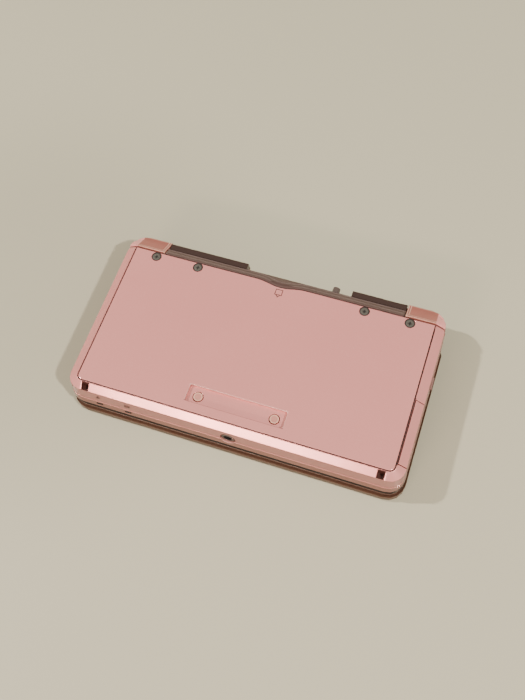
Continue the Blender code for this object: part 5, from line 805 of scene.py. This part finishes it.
def strap_liner(name, side):
    """A dark lining of painted shade inside a strap hole, with rounded corners."""
    (low_x, low_y, low_z), (high_x, high_y, high_z) = STRAP_HOLE
    shape = bmesh.new()
    made = bmesh.ops.create_cube(shape, size=1.0)
    size = Vector((high_x - low_x, high_y - low_y, high_z - low_z))
    bmesh.ops.scale(shape, verts=made["verts"], vec=size)
    middle = Vector((low_x + high_x, low_y + high_y, low_z + high_z)) / 2
    bmesh.ops.translate(shape, verts=made["verts"], vec=(middle.x * side, middle.y, middle.z))
    upright = [edge for edge in shape.edges if abs(edge.verts[0].co.z - edge.verts[1].co.z) > UPRIGHT_EDGE]
    bmesh.ops.bevel(shape, geom=upright, offset=STRAP_CORNER, segments=4, profile=0.5, affect="EDGES",
                    material=-1)
    bmesh.ops.bisect_plane(shape, geom=shape.verts[:] + shape.edges[:] + shape.faces[:],
                           plane_co=CHAMFER_POINT, plane_no=CHAMFER_NORMAL, clear_outer=True)
    bmesh.ops.recalc_face_normals(shape, faces=shape.faces)
    bmesh.ops.solidify(shape, geom=shape.faces, thickness=STRAP_LINING)
    bmesh.ops.recalc_face_normals(shape, faces=shape.faces)
    shown(name, shape, "base", "hollow", "bottom_shell")


def screw_well_shade(name, place):
    """A dark ring of painted shade in the hole that a plate screw's head lies in."""
    shape = bmesh.new()
    start = shape.verts.new((place[0] + SCREW_RING, place[1], FRAME_TOP - WELL_TOP))
    end = shape.verts.new((place[0] + SCREW_RING, place[1], FRAME_TOP - WELL_FOOT))
    edge = shape.edges.new((start, end))
    bmesh.ops.spin(shape, geom=[start, end, edge], cent=(*place, 0.0), axis=(0.0, 0.0, 1.0),
                   angle=math.tau, steps=WELL_STEPS, use_merge=True)
    bmesh.ops.recalc_face_normals(shape, faces=shape.faces)
    bmesh.ops.solidify(shape, geom=shape.faces, thickness=WELL_WALL)
    bmesh.ops.recalc_face_normals(shape, faces=shape.faces)
    shown(name, shape, "base", "seam", "bottom_cover")


def front_mark(name, x, parts):
    """A small printed sign on the front face, made of flat patches (across, up, width, height)."""
    shape = bmesh.new()
    for across, up, width, height in parts:
        made = bmesh.ops.create_grid(shape, x_segments=1, y_segments=1, size=0.5)
        bmesh.ops.scale(shape, verts=made["verts"], vec=(width, height, 1.0))
        bmesh.ops.rotate(shape, verts=made["verts"], matrix=Matrix.Rotation(math.pi / 2, 3, "X"))
        bmesh.ops.translate(shape, verts=made["verts"], vec=(x + across, 0.0, SIGN_LEVEL + up))
    for vert in shape.verts:
        share = (vert.co.z - FRONT_LOW[1]) / (FRONT_HIGH[1] - FRONT_LOW[1])
        vert.co.y = FRONT_LOW[0] + (FRONT_HIGH[0] - FRONT_LOW[0]) * share - MARK_RISE
    bmesh.ops.solidify(shape, geom=shape.faces, thickness=MARK_RISE)
    bmesh.ops.recalc_face_normals(shape, faces=shape.faces)
    shown(name, shape, "base", "ink", "bottom_shell")


def make_bottom_details():
    """The seam's painted shade, the ribs, the strap holes' painted shade, the signs and the painted shade in
    the screws' wells.
    """
    plate_seam_shade()
    for name, distance in RIB_DISTANCES.items():
        edge_rib(name, distance)
    for side, word in ((1.0, "left"), (-1.0, "right")):
        strap_liner("strap_hole_" + word, side)
    front_mark("power_sign", LIGHT_XS[0], POWER_SIGN)
    front_mark("charge_sign", LIGHT_XS[1], CHARGE_SIGN)
    for number, place in enumerate(SCREW_PLACES, 1):
        screw_well_shade("screw_well_shade_" + str(number), place)


def make_floor():
    """A plain table top, which is no part of the console."""
    shape = bmesh.new()
    bmesh.ops.create_grid(shape, x_segments=1, y_segments=1, size=TABLE_HALF)
    mesh = bpy.data.meshes.new("table")
    shape.to_mesh(mesh)
    shape.free()
    table = bpy.data.objects.new("table", mesh)
    bpy.context.scene.collection.objects.link(table)
    mesh.materials.append(table_top("table_top", TABLE))


def soft_light(name, place, size, watts, colour):
    """A lamp that faces the middle of the table."""
    lamp = bpy.data.lights.new(name, "AREA")
    lamp.shape = "RECTANGLE"
    lamp.size, lamp.size_y = size
    lamp.energy = watts
    lamp.color = colour
    held = bpy.data.objects.new(name, lamp)
    held.location = place
    held.rotation_euler = (-place).to_track_quat("-Z", "Y").to_euler()
    bpy.context.scene.collection.objects.link(held)


def make_lights():
    """The lamps, and the light of the room."""
    for name, direction, distance, size, watts, colour in LAMPS:
        place = Vector(direction).normalized() * distance
        soft_light(name, place, size, watts, colour)
    make_room()


def make_room():
    """The room's own light, a little brighter from the front than from the back."""
    world = bpy.data.worlds.new("room")
    world.use_nodes = True
    nodes, links = world.node_tree.nodes, world.node_tree.links
    background = nodes["Background"]
    direction = nodes.new("ShaderNodeTexCoord")
    parts = nodes.new("ShaderNodeSeparateXYZ")
    towards = nodes.new("ShaderNodeMapRange")
    room = nodes.new("ShaderNodeMix")
    room.data_type = "RGBA"
    for key, value in enumerate((-1.0, 1.0)):
        towards.inputs[key + 1].default_value = value
    room.inputs[6].default_value = (*ROOM_FRONT, 1.0)
    room.inputs[7].default_value = (*ROOM_BACK, 1.0)
    links.new(direction.outputs["Generated"], parts.inputs[0])
    links.new(parts.outputs["Y"], towards.inputs[0])
    links.new(towards.outputs[0], room.inputs[0])
    links.new(room.outputs[2], background.inputs["Color"])
    bpy.context.scene.world = world


def make_camera():
    """The camera that sees what the photograph shows."""
    up = CAMERA_RIGHT.cross(CAMERA_FORWARD)
    turn = Matrix((CAMERA_RIGHT, up, -CAMERA_FORWARD)).transposed()
    lens = bpy.data.cameras.new("camera")
    lens.lens = CAMERA_LENS
    lens.sensor_width = CAMERA_SENSOR
    lens.clip_start = CAMERA_CLIP
    camera = bpy.data.objects.new("camera", lens)
    camera.matrix_world = Matrix.Translation(CAMERA_PLACE) @ turn.to_4x4()
    bpy.context.scene.collection.objects.link(camera)
    bpy.context.scene.camera = camera


make_camera()
make_lights()
make_floor()
dress_nodes()
make_bottom_details()
